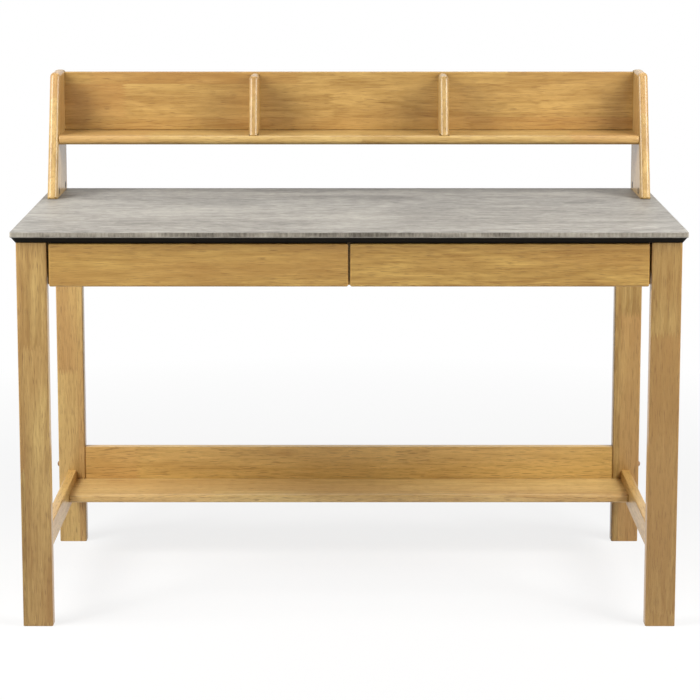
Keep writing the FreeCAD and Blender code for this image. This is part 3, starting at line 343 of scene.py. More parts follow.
# Painted light: the foot shelf is painted a little paler than its wood, to make up for the shade
# under the desk.
FOOT_PAINTED_LIGHT = (-0.15, -0.15)
SHELF_REAR = SHELF_HIGH[1] - JOINT_LINE
foot_shelf_plan = [(SHELF_LOW[0], SHELF_LOW[1]), (SHELF_HIGH[0], SHELF_LOW[1]),
                   (SHELF_HIGH[0], NOTCH_Y), (NOTCH_X, NOTCH_Y), (NOTCH_X, SHELF_REAR),
                   (-NOTCH_X, SHELF_REAR), (-NOTCH_X, NOTCH_Y), (SHELF_LOW[0], NOTCH_Y)]
foot_shelf_corners = ([FRONT_CORNER] * 2 + [NOTCH_CORNER] * 2 + [REAR_CORNER] * 2
                      + [NOTCH_CORNER] * 2)
under_edges = along_edges([NOSE_UNDER] + [BARELY] * 7)
top_edges = along_edges([NOSE_TOP] + [BARELY] * 3 + [JOINT_ROUND] + [BARELY] * 3)
foot_shelf_edges = eased_ends(SHELF_LOW[2], SHELF_HIGH[2], under_edges, top_edges)
foot_shelf_outline = rounded_outline(foot_shelf_plan, foot_shelf_corners)
settle(new_piece("foot_shelf_board", *carried(foot_shelf_outline, foot_shelf_edges),
                 grain_number("foot_shelf"), FOOT_PAINTED_LIGHT), "frame", "rail_wood", "foot_shelf")
print("the foot shelf is", round((SHELF_REAR - SHELF_LOW[1]) / MM), "mm deep")

# %% [markdown]
# ## The hutch
# Two sides lean back along their front edge and end in a round corner at the top. Between
# them run a shelf with a full round nose and, above it, a back board with two dividers in
# front of it. The front and top edges of the sides and dividers are rounded so far that only
# a narrow flat stays between two bright lines; where they stand on something the edge is
# almost sharp. The back board stands on the shelf with a small groove along its lower edge,
# which reads as a thin dark line.

# %% Sides and dividers
SIDE_FRONT, SIDE_TOP_EDGE, SIDE_BACK, BACK_CORNER = 7.5 * MM, 8 * MM, 2 * MM, 3 * MM


def leaning_board(name, node, corners, top_corner, foot_edge, foot_corner, number):
    """A board seen from the side: foot, back, top and a slanted front, with an edge radius
    for each of the four. corners run from the foot's front end, anticlockwise."""
    lo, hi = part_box(node)
    outline = rounded_outline(corners, [foot_corner, BACK_CORNER, BACK_CORNER, top_corner], FINE)
    edges = along_edges([foot_edge, SIDE_BACK, SIDE_TOP_EDGE, SIDE_FRONT], FINE)
    profile = eased_ends(lo[0], hi[0], edges, edges, FINE)
    return settle(new_piece(name, *carried(outline, profile, "yzx"), number),
                  "frame", "hutch_wood", node)


SLAB_TOP, SHELF_TOP = TOP_HIGH[2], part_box("hutch_shelf")[1][2]
SIDE_LOW, SIDE_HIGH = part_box("hutch_side_right")
SLANT_END = 208 * MM
LEAN = (SLANT_END - SIDE_LOW[1]) / (SIDE_HIGH[2] - SLAB_TOP)
SIDE_CORNER, SIDE_FOOT_EDGE, SIDE_FOOT_CORNER = 11 * MM, 1.5 * MM, 4 * MM
DIVIDER_CORNER, DIVIDER_FOOT_EDGE, DIVIDER_FOOT_CORNER = 9 * MM, 0.5 * MM, 1 * MM
for index, name in enumerate(SIDES):
    for part, node, foot, rounds in (
            ("panel", "hutch_side", SLAB_TOP, (SIDE_CORNER, SIDE_FOOT_EDGE, SIDE_FOOT_CORNER)),
            ("divider", "hutch_divider", SHELF_TOP,
             (DIVIDER_CORNER, DIVIDER_FOOT_EDGE, DIVIDER_FOOT_CORNER))):
        lo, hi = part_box(f"{node}_{name}")
        corners = [(lo[1], foot), (hi[1], foot), (hi[1], hi[2]),
                   (lo[1] + LEAN * (hi[2] - foot), hi[2])]
        leaning_board(f"hutch_{name}_{part}", f"{node}_{name}", corners, *rounds,
                      grain_number("hutch_side" if part == "panel" else "divider", index))
print("the front edges lean back by", round(math.degrees(math.atan(LEAN)), 1), "degrees")

# %% Shelf and back
HUTCH_IN = SIDE_LOW[0]
SHELF_NOSE, SHELF_BACK, NOSE_END, PLAIN_END = 8 * MM, 1 * MM, 3.5 * MM, 0.2 * MM
lo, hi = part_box("hutch_shelf")
shelf_section = rounded_outline(box_outline(lo[1:], hi[1:]),
                                [SHELF_NOSE, SHELF_BACK, SHELF_BACK, SHELF_NOSE], FINE)
nose_ends = along_edges([PLAIN_END, PLAIN_END, PLAIN_END, NOSE_END], FINE)
shelf_ends = eased_ends(-HUTCH_IN, HUTCH_IN, nose_ends, nose_ends)
settle(new_piece("hutch_shelf_board", *carried(shelf_section, shelf_ends, "yzx"),
                 grain_number("hutch_shelf")), "frame", "hutch_wood", "hutch_shelf")

GROOVE_DEEP = 3 * MM
BACK_ROUNDS = [0.4 * MM, 0.1 * MM, 0.1 * MM, 0.6 * MM, 2.4 * MM, 2.4 * MM]
lo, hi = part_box("hutch_back")
back_section = rounded_outline(
    [(lo[1], lo[2]), (lo[1] + GROOVE_DEEP, lo[2]), (lo[1] + GROOVE_DEEP, SHELF_TOP),
     (hi[1], SHELF_TOP), (hi[1], hi[2]), (lo[1], hi[2])], BACK_ROUNDS)
back_ends = eased_ends(-HUTCH_IN, HUTCH_IN, PLAIN_END, PLAIN_END)
settle(new_piece("hutch_back_board", *carried(back_section, back_ends, "yzx"),
                 grain_number("hutch_back")), "frame", "hutch_wood", "hutch_back")
print("pieces so far:", len(made))

# %% [markdown]
# ## The drawers
# A drawer is a front on a plain box. The front's edges are rounded towards the room and kept
# crisp at the back. The box is thin board: two sides, a back let into them and a sheet of
# plywood for the bottom. Everything of one drawer rides on that drawer's body, so it comes
# forward as one thing.

# %% Fronts and boxes
FRONT_CORNER_ROUND, FRONT_EDGE, FRONT_BACK_EDGE = 3.2 * MM, 3 * MM, 0.6 * MM
BOX_SIDE_ROUND, BOX_BACK_ROUND = 1.4 * MM, 1.2 * MM
for index, name in enumerate(SIDES):
    drawer = f"drawer_{name}"
    lo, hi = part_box(f"{drawer}_front")
    outline = rounded_outline(box_outline((lo[2], lo[0]), (hi[2], hi[0])), FRONT_CORNER_ROUND)
    ends = eased_ends(lo[1], hi[1], FRONT_EDGE, FRONT_BACK_EDGE)
    settle(new_piece(f"{drawer}_face", *carried(outline, ends, "zxy"),
                     grain_number("drawer_front", index)), drawer, "drawer_wood", f"{drawer}_front")
    for part, axes, radius in (("side_left", "zxy", BOX_SIDE_ROUND),
                               ("side_right", "zxy", BOX_SIDE_ROUND),
                               ("back", "yzx", BOX_BACK_ROUND)):
        board_between(f"{drawer}_{part}", drawer, "box_wood", axes, radius, TUCKED_END,
                      grain_number(f"box_{part}", index))
print("pieces so far:", len(made))

# %% [markdown]
# ## Balls and caps
# The slides run on small steel balls held in a strip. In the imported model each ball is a
# rough solid, so here every ball is a true sphere at the same centre. A sphere is a half
# circle turned about an axis: the rings between the poles are a grid, and each pole is one
# point with a fan of triangles.


# %% Turned shapes
def turned(radii, levels, normals, centres, axes="xyz", sides=24):
    """Copies of a turned solid, as (points, normals, faces).

    point(i, j) = centre + (radius_i * cos b_j, radius_i * sin b_j, level_i), with a pole of
    radius 0 at both ends; normals holds the profile's (out, up) for each level."""
    angle = np.arange(sides) * (2 * np.pi / sides)
    round_way = np.stack([np.cos(angle), np.sin(angle)], axis=-1)
    radii, levels, normals = (np.asarray(v, float) for v in (radii, levels, normals))
    rings = len(radii) - 2
    ring = np.concatenate([radii[1:-1, None, None] * round_way,
                           np.broadcast_to(levels[1:-1, None, None], (rings, sides, 1))], axis=-1)
    facing = np.concatenate([normals[1:-1, None, :1] * round_way,
                             np.broadcast_to(normals[1:-1, None, 1:], (rings, sides, 1))], axis=-1)
    poles = np.array([[0, 0, levels[0]], [0, 0, levels[-1]]])
    pole_normals = np.array([[0, 0, normals[0][1]], [0, 0, normals[-1][1]]])
    order = [axes.index(axis) for axis in "xyz"]
    one = np.concatenate([ring.reshape(-1, 3), poles])[:, order]
    one_normals = np.concatenate([facing.reshape(-1, 3), pole_normals])[:, order]
    low, top = rings * sides, rings * sides + 1
    first, last = np.arange(sides), (rings - 1) * sides + np.arange(sides)
    fans = np.concatenate([np.stack([np.full(sides, low), np.roll(first, -1), first], axis=-1),
                           np.stack([np.full(sides, top), last, np.roll(last, -1)], axis=-1)])
    quads = grid_faces(rings, sides)
    points, all_normals, faces = [], [], []
    for index, centre in enumerate(centres):
        start = index * len(one)
        points.append(one + centre)
        all_normals.append(one_normals)
        faces += (quads + start).tolist() + (fans + start).tolist()
    return np.concatenate(points), np.concatenate(all_normals), faces


def solid_centres(node):
    """The middle of each separate solid in a node: its triangles are joined through shared
    corners, and each group's box gives its middle and its size."""
    mesh = frame["nodes"][node].data
    points = np.empty(len(mesh.vertices) * 3)
    mesh.vertices.foreach_get("co", points)
    points = points.reshape(-1, 3)
    rounded, same = np.unique(np.round(points, 6), axis=0, return_inverse=True)
    corners = np.empty(len(mesh.loops), int)
    mesh.loops.foreach_get("vertex_index", corners)
    triangles = same.reshape(-1)[corners].reshape(-1, 3)
    label = np.arange(len(rounded))
    while True:
        lowest = label[triangles].min(axis=1)
        before = label.copy()
        np.minimum.at(label, triangles.reshape(-1), np.repeat(lowest, 3))
        label = label[label]
        if (label == before).all():
            break
    groups = [rounded[label == value] for value in np.unique(label)]
    return [((g.min(axis=0) + g.max(axis=0)) / 2, g.max(axis=0) - g.min(axis=0)) for g in groups]


# %% Balls in their races
BALL_RADIUS, BALL_RINGS = 1.6 * MM, 13
around = np.linspace(-np.pi / 2, np.pi / 2, BALL_RINGS)
ball_normals = np.stack([np.cos(around), np.sin(around)], axis=-1)
for name in SIDES:
    centres = [centre for centre, size in solid_centres(f"drawer_{name}_balls")]
    balls = new_piece(f"drawer_{name}_bearing_balls", *turned(
        BALL_RADIUS * np.cos(around), BALL_RADIUS * np.sin(around), ball_normals, centres))
    settle(balls, f"drawer_{name}_cages", "ball_steel", f"drawer_{name}_balls")
    print("drawer", name, "runs on", len(centres), "balls")

# %% Cams with a cross in the face
CAM_RADIUS, CAM_RIM, CAM_PROUD = 7 * MM, 0.5 * MM, 0.3 * MM
CROSS_LONG, CROSS_HALF, CROSS_DEEP = 4.2 * MM, 0.9 * MM, 1.2 * MM
WALL_STEEP, END_STEEP = 3, 6
CAM_SIDES, CAM_RINGS, RIM_TURNS = 72, 26, np.array([0.4, 0.8, 1.2, np.pi / 2])


def cam_faces(side, centres):
    """Round cams seen in a side's inner face, as (points, normals, faces).

    Each is rings about its middle, with a flat back. The level is CAM_PROUD before the
    board, less CROSS_DEEP where the point lies in a cross of two bars, less the rim's
    quarter round."""
    turn = np.arange(CAM_SIDES) * (2 * np.pi / CAM_SIDES)
    rim = CAM_RADIUS - CAM_RIM * (1 - np.sin(RIM_TURNS))
    reach = np.concatenate([np.linspace(0, 1, CAM_RINGS)[1:] * (CAM_RADIUS - CAM_RIM), rim])
    along, up = np.outer(reach, np.cos(turn)), np.outer(reach, np.sin(turn))
    near = np.minimum(np.abs(along), np.abs(up)) / CROSS_HALF
    far = np.maximum(np.abs(along), np.abs(up)) / CROSS_LONG
    sunk = (CROSS_DEEP * np.clip((1 - near) * WALL_STEEP, 0, 1)
            * np.clip((1 - far) * END_STEEP, 0, 1))
    roll = np.clip(reach - (CAM_RADIUS - CAM_RIM), 0, CAM_RIM)[:, None]
    level = CAM_PROUD - sunk - (CAM_RIM - np.sqrt(CAM_RIM ** 2 - roll ** 2))
    ring = np.stack([level, along, up], axis=-1).reshape(-1, 3)
    one = np.concatenate([ring, [[CAM_PROUD - CROSS_DEEP, 0, 0]]]) * (-side, 1, 1)
    hub, after = np.arange(len(turn)), np.roll(np.arange(len(turn)), -1)
    quads = grid_faces(len(reach), len(turn))[:, ::-1]
    back = (len(reach) - 1) * len(turn) + hub[::-1]
    fan = np.stack([np.full(len(turn), len(ring)), hub, after], axis=-1)
    points, faces = [], []
    for index, centre in enumerate(centres):
        points.append(one + centre)
        faces += [(face + index * len(one))[::-side].tolist() for face in (*quads, *fan, back)]
    return np.concatenate(points), faces


for name, side in SIDES.items():
    seen_at = [np.array([HUTCH_IN * side, centre[1], centre[2]])
               for centre, size in solid_centres("cam_locks") if centre[0] * side > 0]
    points, faces = cam_faces(side, seen_at)
    settle(new_piece(f"cam_faces_{name}", points, None, faces), "frame", "cam_metal", "cam_locks")
    print(name, "side has", len(seen_at), "cams")

# %% Caps over the frame bolts
CAP_RADIUS, CAP_IN, CAP_RISE, CAP_LIP = 5.5 * MM, 2.4 * MM, 4 * MM, 0.8 * MM
CAP_SIDES, DOME_STEPS, CAP_EASE, CAP_STEEP = 32, 8, 0.98, 2.3
CAP_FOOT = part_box("bolt_caps")[1][0] - CAP_IN
dome = np.linspace(0, np.pi / 2, DOME_STEPS + 1)[1:]
cap_radii = CAP_RADIUS * np.concatenate([[0, CAP_EASE, 1], np.cos(dome)])
cap_radii[-1] = 0
cap_levels = np.concatenate([[0, 0, CAP_LIP], CAP_LIP + (CAP_RISE - CAP_LIP) * np.sin(dome)])
cap_normals = np.concatenate([[[0, -1], [1, 0], [1, 0]],
                              np.stack([np.cos(dome), CAP_STEEP * np.sin(dome)], axis=-1)])
cap_normals /= np.linalg.norm(cap_normals, axis=1, keepdims=True)
for name, side in SIDES.items():
    centres = [centre * (0, 1, 1) + (CAP_FOOT, 0, 0)
               for centre, size in solid_centres("bolt_caps") if centre[0] * side > 0]
    points, facing, faces = turned(cap_radii, cap_levels, cap_normals, centres, "yzx", CAP_SIDES)
    if side < 0:
        points, facing = points * (-1, 1, 1), facing * (-1, 1, 1)
        faces = [face[::-1] for face in faces]
    settle(new_piece(f"bolt_caps_{name}", points, facing, faces), "frame", "cap_plastic",
           "bolt_caps")
print("pieces made so far:", len(made))

# %% [markdown]
# ## Building finishes
# A finish is a small machine of nodes. Writing one by hand takes many lines, so short
# helpers add a node, do a sum, mix two colours and make noise. Colours are given as they look
# on a screen, and turned into the light values that the renderer uses.


# %% Node helpers
def paint(red, green, blue):
    """A colour as it looks on a screen (0 to 255) turned into light values."""
    share = np.array([red, green, blue]) / 255
    light = np.where(share > 0.04045, ((share + 0.055) / 1.055) ** 2.4, share / 12.92)
    return (*[float(v) for v in light], 1.0)


def put(tree, kind, inputs=None, **settings):
    """Adds a node, sets its plain settings, and fills or links its inputs."""
    node = tree.nodes.new(kind)
    for name, value in settings.items():
        setattr(node, name, value)
    for key, value in (inputs or {}).items():
        if isinstance(value, bpy.types.NodeSocket):
            tree.links.new(value, node.inputs[key])
        else:
            node.inputs[key].default_value = value
    return node


def sums(tree, operation, *values, clamp=False):
    """One sum on numbers or sockets."""
    return put(tree, "ShaderNodeMath", dict(enumerate(values)), operation=operation,
               use_clamp=clamp).outputs[0]


def times(tree, first, second):
    """Two numbers or sockets multiplied."""
    return sums(tree, "MULTIPLY", first, second)


def total(tree, *values):
    """Several numbers or sockets added up."""
    result = values[0]
    for value in values[1:]:
        result = sums(tree, "ADD", result, value)
    return result


def swing(tree, share, reach):
    """How far a share lies from its middle, one half, times a reach."""
    return times(tree, sums(tree, "SUBTRACT", share, 0.5), reach)


def mixed(tree, share, first, second):
    """Two colours mixed by a share."""
    return put(tree, "ShaderNodeMix", {0: share, 6: first, 7: second},
               data_type="RGBA").outputs[2]


def ramped(tree, value, low, high):
    """A value stretched so that low becomes 0 and high becomes 1."""
    return put(tree, "ShaderNodeMapRange", {0: value, 1: low, 2: high, 3: 0.0, 4: 1.0},
               clamp=True).outputs[0]


def noise(tree, vector, stretch, detail=2.0, rough=0.5, warp=0.0):
    """Cloudy noise with its own number of clouds per metre along each axis."""
    scaled = put(tree, "ShaderNodeVectorMath", {0: vector, 1: stretch}, operation="MULTIPLY")
    return put(tree, "ShaderNodeTexNoise",
               {"Vector": scaled.outputs[0], "Scale": 1.0, "Detail": detail, "Roughness": rough,
                "Distortion": warp}).outputs[0]


def new_group(name, inputs, outputs):
    """A shader node group: its tree, what comes in and what goes out."""
    group = bpy.data.node_groups.new(name, "ShaderNodeTree")
    for label, kind, value in inputs:
        socket = group.interface.new_socket(label, in_out="INPUT", socket_type=f"NodeSocket{kind}")
        if value is not None:
            socket.default_value = value
    for label, kind in outputs:
        group.interface.new_socket(label, in_out="OUTPUT", socket_type=f"NodeSocket{kind}")
    inside = put(group, "NodeGroupInput").outputs
    return group, inside, put(group, "NodeGroupOutput").inputs


# %% [markdown]
# ## Glued-up wood
# Boards like these are glued from narrow staves, and each stave is made of blocks joined end
# to end with small wooden fingers. So the finish first finds out which stave and which block
# a point lies in, and gives every block its own shade and its own piece of grain. In each
# block the grain is built from large to small: a slow drift of colour, growth rings, long
# streaks, fine fibres, and short dark pores. The group takes a vector whose first direction
# is the grain and whose second runs across the staves.

# %% The wood group: staves and blocks
wood, into, out = new_group(
    "glued_up_wood",
    [("Vector", "Vector", None), ("Board", "Float", 0.0), ("Stave Width", "Float", 0.068),
     ("Block Length", "Float", 0.55), ("Pale", "Color", paint(222, 184, 126)),
     ("Deep", "Color", paint(172, 123, 68)), ("Warm", "Color", paint(190, 130, 84)),
     ("Figure", "Float", 1.0), ("Shade", "Float", 0.0)],
    [("Color", "Color"), ("Roughness", "Float"), ("Height", "Float")])
STAVE_SHIFT, BLOCK_SHIFT = 0.37, 7.0
FINGER_PITCH, FINGER_LONG = 0.0028, 0.014
axis = put(wood, "ShaderNodeSeparateXYZ", {0: into["Vector"]}).outputs
stave_place = total(wood, sums(wood, "DIVIDE", axis[1], into["Stave Width"]),
                    times(wood, into["Board"], STAVE_SHIFT))
stave = sums(wood, "FLOOR", stave_place)
in_stave = sums(wood, "SUBTRACT", stave_place, stave)
place = put(wood, "ShaderNodeCombineXYZ", {0: stave, 1: into["Board"]}).outputs[0]
stave_luck = put(wood, "ShaderNodeTexWhiteNoise", {"Vector": place},
                 noise_dimensions="2D").outputs[0]
fingers = times(wood, sums(wood, "PINGPONG", axis[1], FINGER_PITCH), FINGER_LONG / FINGER_PITCH)
block_place = total(wood, sums(wood, "DIVIDE", total(wood, axis[0], fingers),
                               into["Block Length"]), times(wood, stave_luck, BLOCK_SHIFT))
block = sums(wood, "FLOOR", block_place)
in_block = sums(wood, "SUBTRACT", block_place, block)
place = put(wood, "ShaderNodeCombineXYZ", {0: stave, 1: block, 2: into["Board"]}).outputs[0]
luck = put(wood, "ShaderNodeTexWhiteNoise", {"Vector": place}, noise_dimensions="3D").outputs[1]
chance = put(wood, "ShaderNodeSeparateColor", {0: luck}).outputs

# %% Grain inside one block
# Clouds per metre along, across and through the grain, then detail, roughness and warp
GRAIN_CLOUDS = {
    "drift": ((3.0, 18.0, 18.0), 2.0, 0.5, 0.5), "ribbons": ((7.0, 62.0, 62.0), 3.0, 0.6, 0.9),
    "streaks": ((8.0, 170.0, 170.0), 3.0, 0.62, 0.3), "fibres": ((22.0, 700.0, 700.0), 2.0, 0.6),
    "pores": ((48.0, 900.0, 900.0), 0.0), "specks": ((70.0, 420.0, 420.0), 1.0),
    "bend": ((3.2, 14.0, 14.0), 1.0)}
JUMP = (7.0, 5.0, 3.0)
RING_PEAK = 4.0
RING_PITCH, RING_BEND, RING_SHARP = 0.0085, 0.055, 3.0
PITH_ACROSS, PITH_NEAR, PITH_FAR = 0.09, 0.03, 0.05
jump = put(wood, "ShaderNodeVectorMath", {0: luck, 1: JUMP}, operation="MULTIPLY").outputs[0]
grain_at = put(wood, "ShaderNodeVectorMath", {0: into["Vector"], 1: jump},
               operation="ADD").outputs[0]
cloud = {name: noise(wood, grain_at, *values) for name, values in GRAIN_CLOUDS.items()}
local_y = sums(wood, "SUBTRACT", swing(wood, in_stave, into["Stave Width"]),
               swing(wood, chance[0], PITH_ACROSS))
local_z = total(wood, axis[2], PITH_NEAR, times(wood, chance[1], PITH_FAR))
ring_reach = sums(wood, "SQRT", total(wood, times(wood, local_y, local_y),
                                      times(wood, local_z, local_z)))
ring_reach = total(wood, ring_reach, times(wood, cloud["bend"], RING_BEND))
rings = sums(wood, "FRACT", sums(wood, "DIVIDE", ring_reach, RING_PITCH))
rings = sums(wood, "POWER", rings, RING_SHARP)
rings = times(wood, times(wood, rings, sums(wood, "SUBTRACT", 1.0, rings)), RING_PEAK)

# %% Colours of the wood
BASE_DEPTH, BLOCK_SWING, DRIFT_SWING, RING_DEPTH = 0.4, 0.36, 1.2, 0.2
GRAIN_SWINGS = {"ribbons": 1.3, "streaks": 1.7, "fibres": 0.7}
WARM_DRIFT, WARM_FROM, WARM_TO, WARM_MOST = 0.9, 0.75, 1.6, 0.75
PORE_MARKS = {"pores": (0.62, 0.72, 0.5), "specks": (0.66, 0.76, 0.24)}
SEAM_FROM, JOINT_FROM, LINE_DEPTH = 0.4935, 0.4988, 0.3
PORE_BROWN, LINE_BROWN = paint(104, 68, 34), paint(120, 80, 42)
grain = total(wood, *[swing(wood, cloud[name], reach) for name, reach in GRAIN_SWINGS.items()],
              times(wood, rings, RING_DEPTH))
depth = total(wood, swing(wood, chance[2], BLOCK_SWING), swing(wood, cloud["drift"], DRIFT_SWING),
              into["Shade"], times(wood, grain, into["Figure"]))
depth = sums(wood, "ADD", depth, BASE_DEPTH, clamp=True)
colour = mixed(wood, depth, into["Pale"], into["Deep"])
warmth = total(wood, chance[1], times(wood, cloud["drift"], WARM_DRIFT))
warmth = times(wood, ramped(wood, warmth, WARM_FROM, WARM_TO), WARM_MOST)
colour = mixed(wood, warmth, colour, into["Warm"])
pore_mark = sums(wood, "MAXIMUM", *[times(wood, ramped(wood, cloud[name], low, high), depth_here)
                                    for name, (low, high, depth_here) in PORE_MARKS.items()])
colour = mixed(wood, pore_mark, colour, PORE_BROWN)
seam, joint = (ramped(wood, sums(wood, "ABSOLUTE", sums(wood, "SUBTRACT", inside, 0.5)), edge, 0.5)
               for inside, edge in ((in_stave, SEAM_FROM), (in_block, JOINT_FROM)))
lines = times(wood, sums(wood, "MAXIMUM", seam, joint), LINE_DEPTH)
colour = mixed(wood, lines, colour, LINE_BROWN)

# %% What the wood group gives
SMOOTHEST, ROUGHER, FIBRE_RELIEF = 0.36, 0.16, 0.25
wood.links.new(colour, out["Color"])
wood.links.new(total(wood, SMOOTHEST, times(wood, total(wood, pore_mark, cloud["streaks"]),
                                            ROUGHER)), out["Roughness"])
wood.links.new(sums(wood, "SUBTRACT", times(wood, cloud["fibres"], FIBRE_RELIEF),
                    total(wood, pore_mark, lines)), out["Height"])
print("the wood group has", len(wood.nodes), "nodes")

# %% [markdown]
# ## Marks of handling
# Nothing in use is evenly glossy. A second group gives every finish faint smears: broad soft
# clouds, and finer rubbing. It is built once and each material takes as much as it needs,
# a little on lacquer, more on bare steel.

# %% The handling group
handling, into, out = new_group(
    "handling_marks", [("Vector", "Vector", None), ("Roughness", "Float", 0.4),
                       ("Amount", "Float", 0.1)], [("Roughness", "Float")])
CLOUD_SHARE, RUB_SHARE = 0.7, 0.3
clouds = noise(handling, into["Vector"], (7.0, 7.0, 7.0), 3.0, 0.6, 0.8)
rubs = noise(handling, into["Vector"], (90.0, 90.0, 90.0), 2.0, 0.6)
mask = total(handling, times(handling, clouds, CLOUD_SHARE), times(handling, rubs, RUB_SHARE))
handling.links.new(sums(handling, "ADD", into["Roughness"],
                        swing(handling, mask, into["Amount"]), clamp=True), out["Roughness"])
print("the handling group has", len(handling.nodes), "nodes")


# %% A material ready for its nodes
def new_material(name, **constants):
    """A material with an empty tree but its shader, and the plain values set on that."""
    material = bpy.data.materials.new(name)
    material.use_nodes = True
    tree = material.node_tree
    shader = tree.nodes["Principled BSDF"]
    for label, value in constants.items():
        shader.inputs[label.replace("_", " ")].default_value = value
    here = put(tree, "ShaderNodeTexCoord").outputs["Object"]
    return material, tree, shader.inputs, here


def use_group(tree, group, **inputs):
    """Places a group in a tree, with its own values."""
    return put(tree, "ShaderNodeGroup", {key.replace("_", " "): value for key, value in
                                         inputs.items()}, node_tree=group).outputs


def bump(tree, height, inputs, distance, strength):
    """Leads a height through a Bump node to the shader's normal."""
    relief = put(tree, "ShaderNodeBump", {"Height": height, "Distance": distance,
                                          "Strength": strength})
    tree.links.new(relief.outputs[0], inputs["Normal"])


def handled(tree, here, inputs, roughness, amount):
    """Leads a roughness with some marks of handling to the shader."""
    touched = use_group(tree, handling, Vector=here, Roughness=roughness, Amount=amount)
    tree.links.new(touched["Roughness"], inputs["Roughness"])


# %% [markdown]
# ## The desk's woods
# All the boards share the wood group but lie in different directions, so a Mapping node
# first turns each board's grain to the group's first direction. Legs and the hutch's sides
# stand upright, rails and shelves lie along the desk. The tones differ a little from board
# to board, and part of that is painted light: the rails and the foot shelf are painted paler
# to make up for the shade under the desk, and the hutch's back is painted deeper where the
# lamps stand near. The drawers' boxes are left paler. A satin lacquer is a thin coat over
# all of it.

# %% Where the grain runs
GRAIN = {
    "level, staves upward": [[1, 0, 0], [0, 0, 1], [0, -1, 0]],
    "level, staves backward": [[1, 0, 0], [0, 1, 0], [0, 0, 1]],
    "upright, staves sideways": [[0, 0, 1], [1, 0, 0], [0, 1, 0]],
    "upright, staves backward": [[0, 0, 1], [0, 1, 0], [-1, 0, 0]],
    "backward, staves upward": [[0, 1, 0], [0, 0, 1], [1, 0, 0]],
}
COAT_WEIGHT, COAT_ROUGHNESS, WOOD_SPECULAR, WOOD_MARKS = 0.5, 0.24, 0.3, 0.12
WOOD_RELIEF, WOOD_RELIEF_STRENGTH = 0.00025, 0.5


def wood_material(name, grain, colours, stave, block, figure, shift=(0, 0, 0)):
    """Lacquered wood with its grain turned one of the ways above, in staves and blocks of a
    size. colours are pale, deep and warm, and figure says how strong its grain is."""
    material, tree, inputs, here = new_material(name, Coat_Weight=COAT_WEIGHT,
                                                Coat_Roughness=COAT_ROUGHNESS,
                                                Specular_IOR_Level=WOOD_SPECULAR)
    turn = put(tree, "ShaderNodeMapping", {
        "Vector": here, "Rotation": Matrix(GRAIN[grain]).to_euler(), "Location": shift})
    board, shade = [put(tree, "ShaderNodeAttribute", attribute_name=attribute).outputs["Fac"]
                    for attribute in ("board", "shade")]
    pale, deep, warm = (paint(*colour) for colour in colours)
    made_of = use_group(tree, wood, Vector=turn.outputs[0], Board=board, Shade=shade,
                        Stave_Width=stave, Block_Length=block, Figure=figure, Pale=pale,
                        Deep=deep, Warm=warm)
    tree.links.new(made_of["Color"], inputs["Base Color"])
    handled(tree, here, inputs, made_of["Roughness"], WOOD_MARKS)
    bump(tree, made_of["Height"], inputs, WOOD_RELIEF, WOOD_RELIEF_STRENGTH)
    return material


# %% The woods
# Pale, deep and warm, as they look on a screen
LEG = ((207, 175, 108), (142, 107, 49), (186, 141, 83))
# Painted light: the rails and the foot shelf are painted paler than the legs, to make up for the
# shade under the desk.
RAIL = ((225, 187, 110), (183, 142, 72), (209, 161, 97))
FOOT = ((222, 191, 126), (176, 139, 80), (199, 157, 98))
FRONT = ((210, 171, 92), (162, 121, 54), (184, 135, 70))
# Painted shade: the hutch's back is painted deeper than the other boards, where the lamps stand
# near.
HUTCH = ((192, 156, 89), (144, 107, 46), (168, 120, 61))
PANEL = ((200, 166, 104), (155, 120, 64), (177, 133, 78))
SHELF = ((202, 170, 106), (158, 123, 64), (180, 137, 80))
BOX = ((212, 182, 132), (184, 148, 98), (196, 156, 106))
PLY = ((210, 184, 140), (184, 152, 106), (196, 160, 116))
DOWEL = ((232, 206, 164), (208, 172, 126), (220, 184, 140))
# For each wood: its grain's direction, colours, stave width, block length and figure
WOODS = {
    "leg_upright_wood": ("upright, staves sideways", LEG, 0.11, 0.52, 0.85),
    "drawer_front_wood": ("level, staves upward", FRONT, 0.31, 1.3, 1.0, (0.1, 0.0, 0.0)),
    "long_rail_wood": ("level, staves upward", RAIL, 0.09, 0.6, 0.85),
    "side_rail_wood": ("backward, staves upward", RAIL, 0.09, 0.6, 0.85),
    "foot_shelf_wood": ("level, staves backward", FOOT, 0.045, 0.42, 0.85),
    "hutch_level_wood": ("level, staves upward", HUTCH, 0.068, 0.42, 1.0),
    "hutch_upright_wood": ("upright, staves backward", PANEL, 0.068, 0.42, 1.0),
    "hutch_shelf_wood": ("level, staves backward", SHELF, 0.068, 0.42, 1.0),
    "drawer_box_wood": ("backward, staves upward", BOX, 0.3, 0.9, 0.5),
    "drawer_bottom_ply": ("level, staves backward", PLY, 0.7, 3.0, 0.7),
    "beech_dowel_wood": ("level, staves backward", DOWEL, 0.5, 0.9, 0.4),
}
woods = {name: wood_material(name, *values) for name, values in WOODS.items()}
finishes = {"leg_wood": woods["leg_upright_wood"], "drawer_wood": woods["drawer_front_wood"],
            "rail_wood": woods["long_rail_wood"], "hutch_wood": woods["hutch_level_wood"],
            "box_wood": woods["drawer_box_wood"], "bottom_board": woods["drawer_bottom_ply"],
            "dowel_wood": woods["beech_dowel_wood"]}
print("woods:", ", ".join(woods))

# %% [markdown]
# ## The stone-look top
# The slab is faced with a laminate printed like brushed stone: cloudy greys drawn out along
# the desk's length, with finer darker dashes in them. It is matt and slightly textured. The
# slab's edge is mottled without a direction, so a second tone takes over where the height
# is between the edge's two rounds.

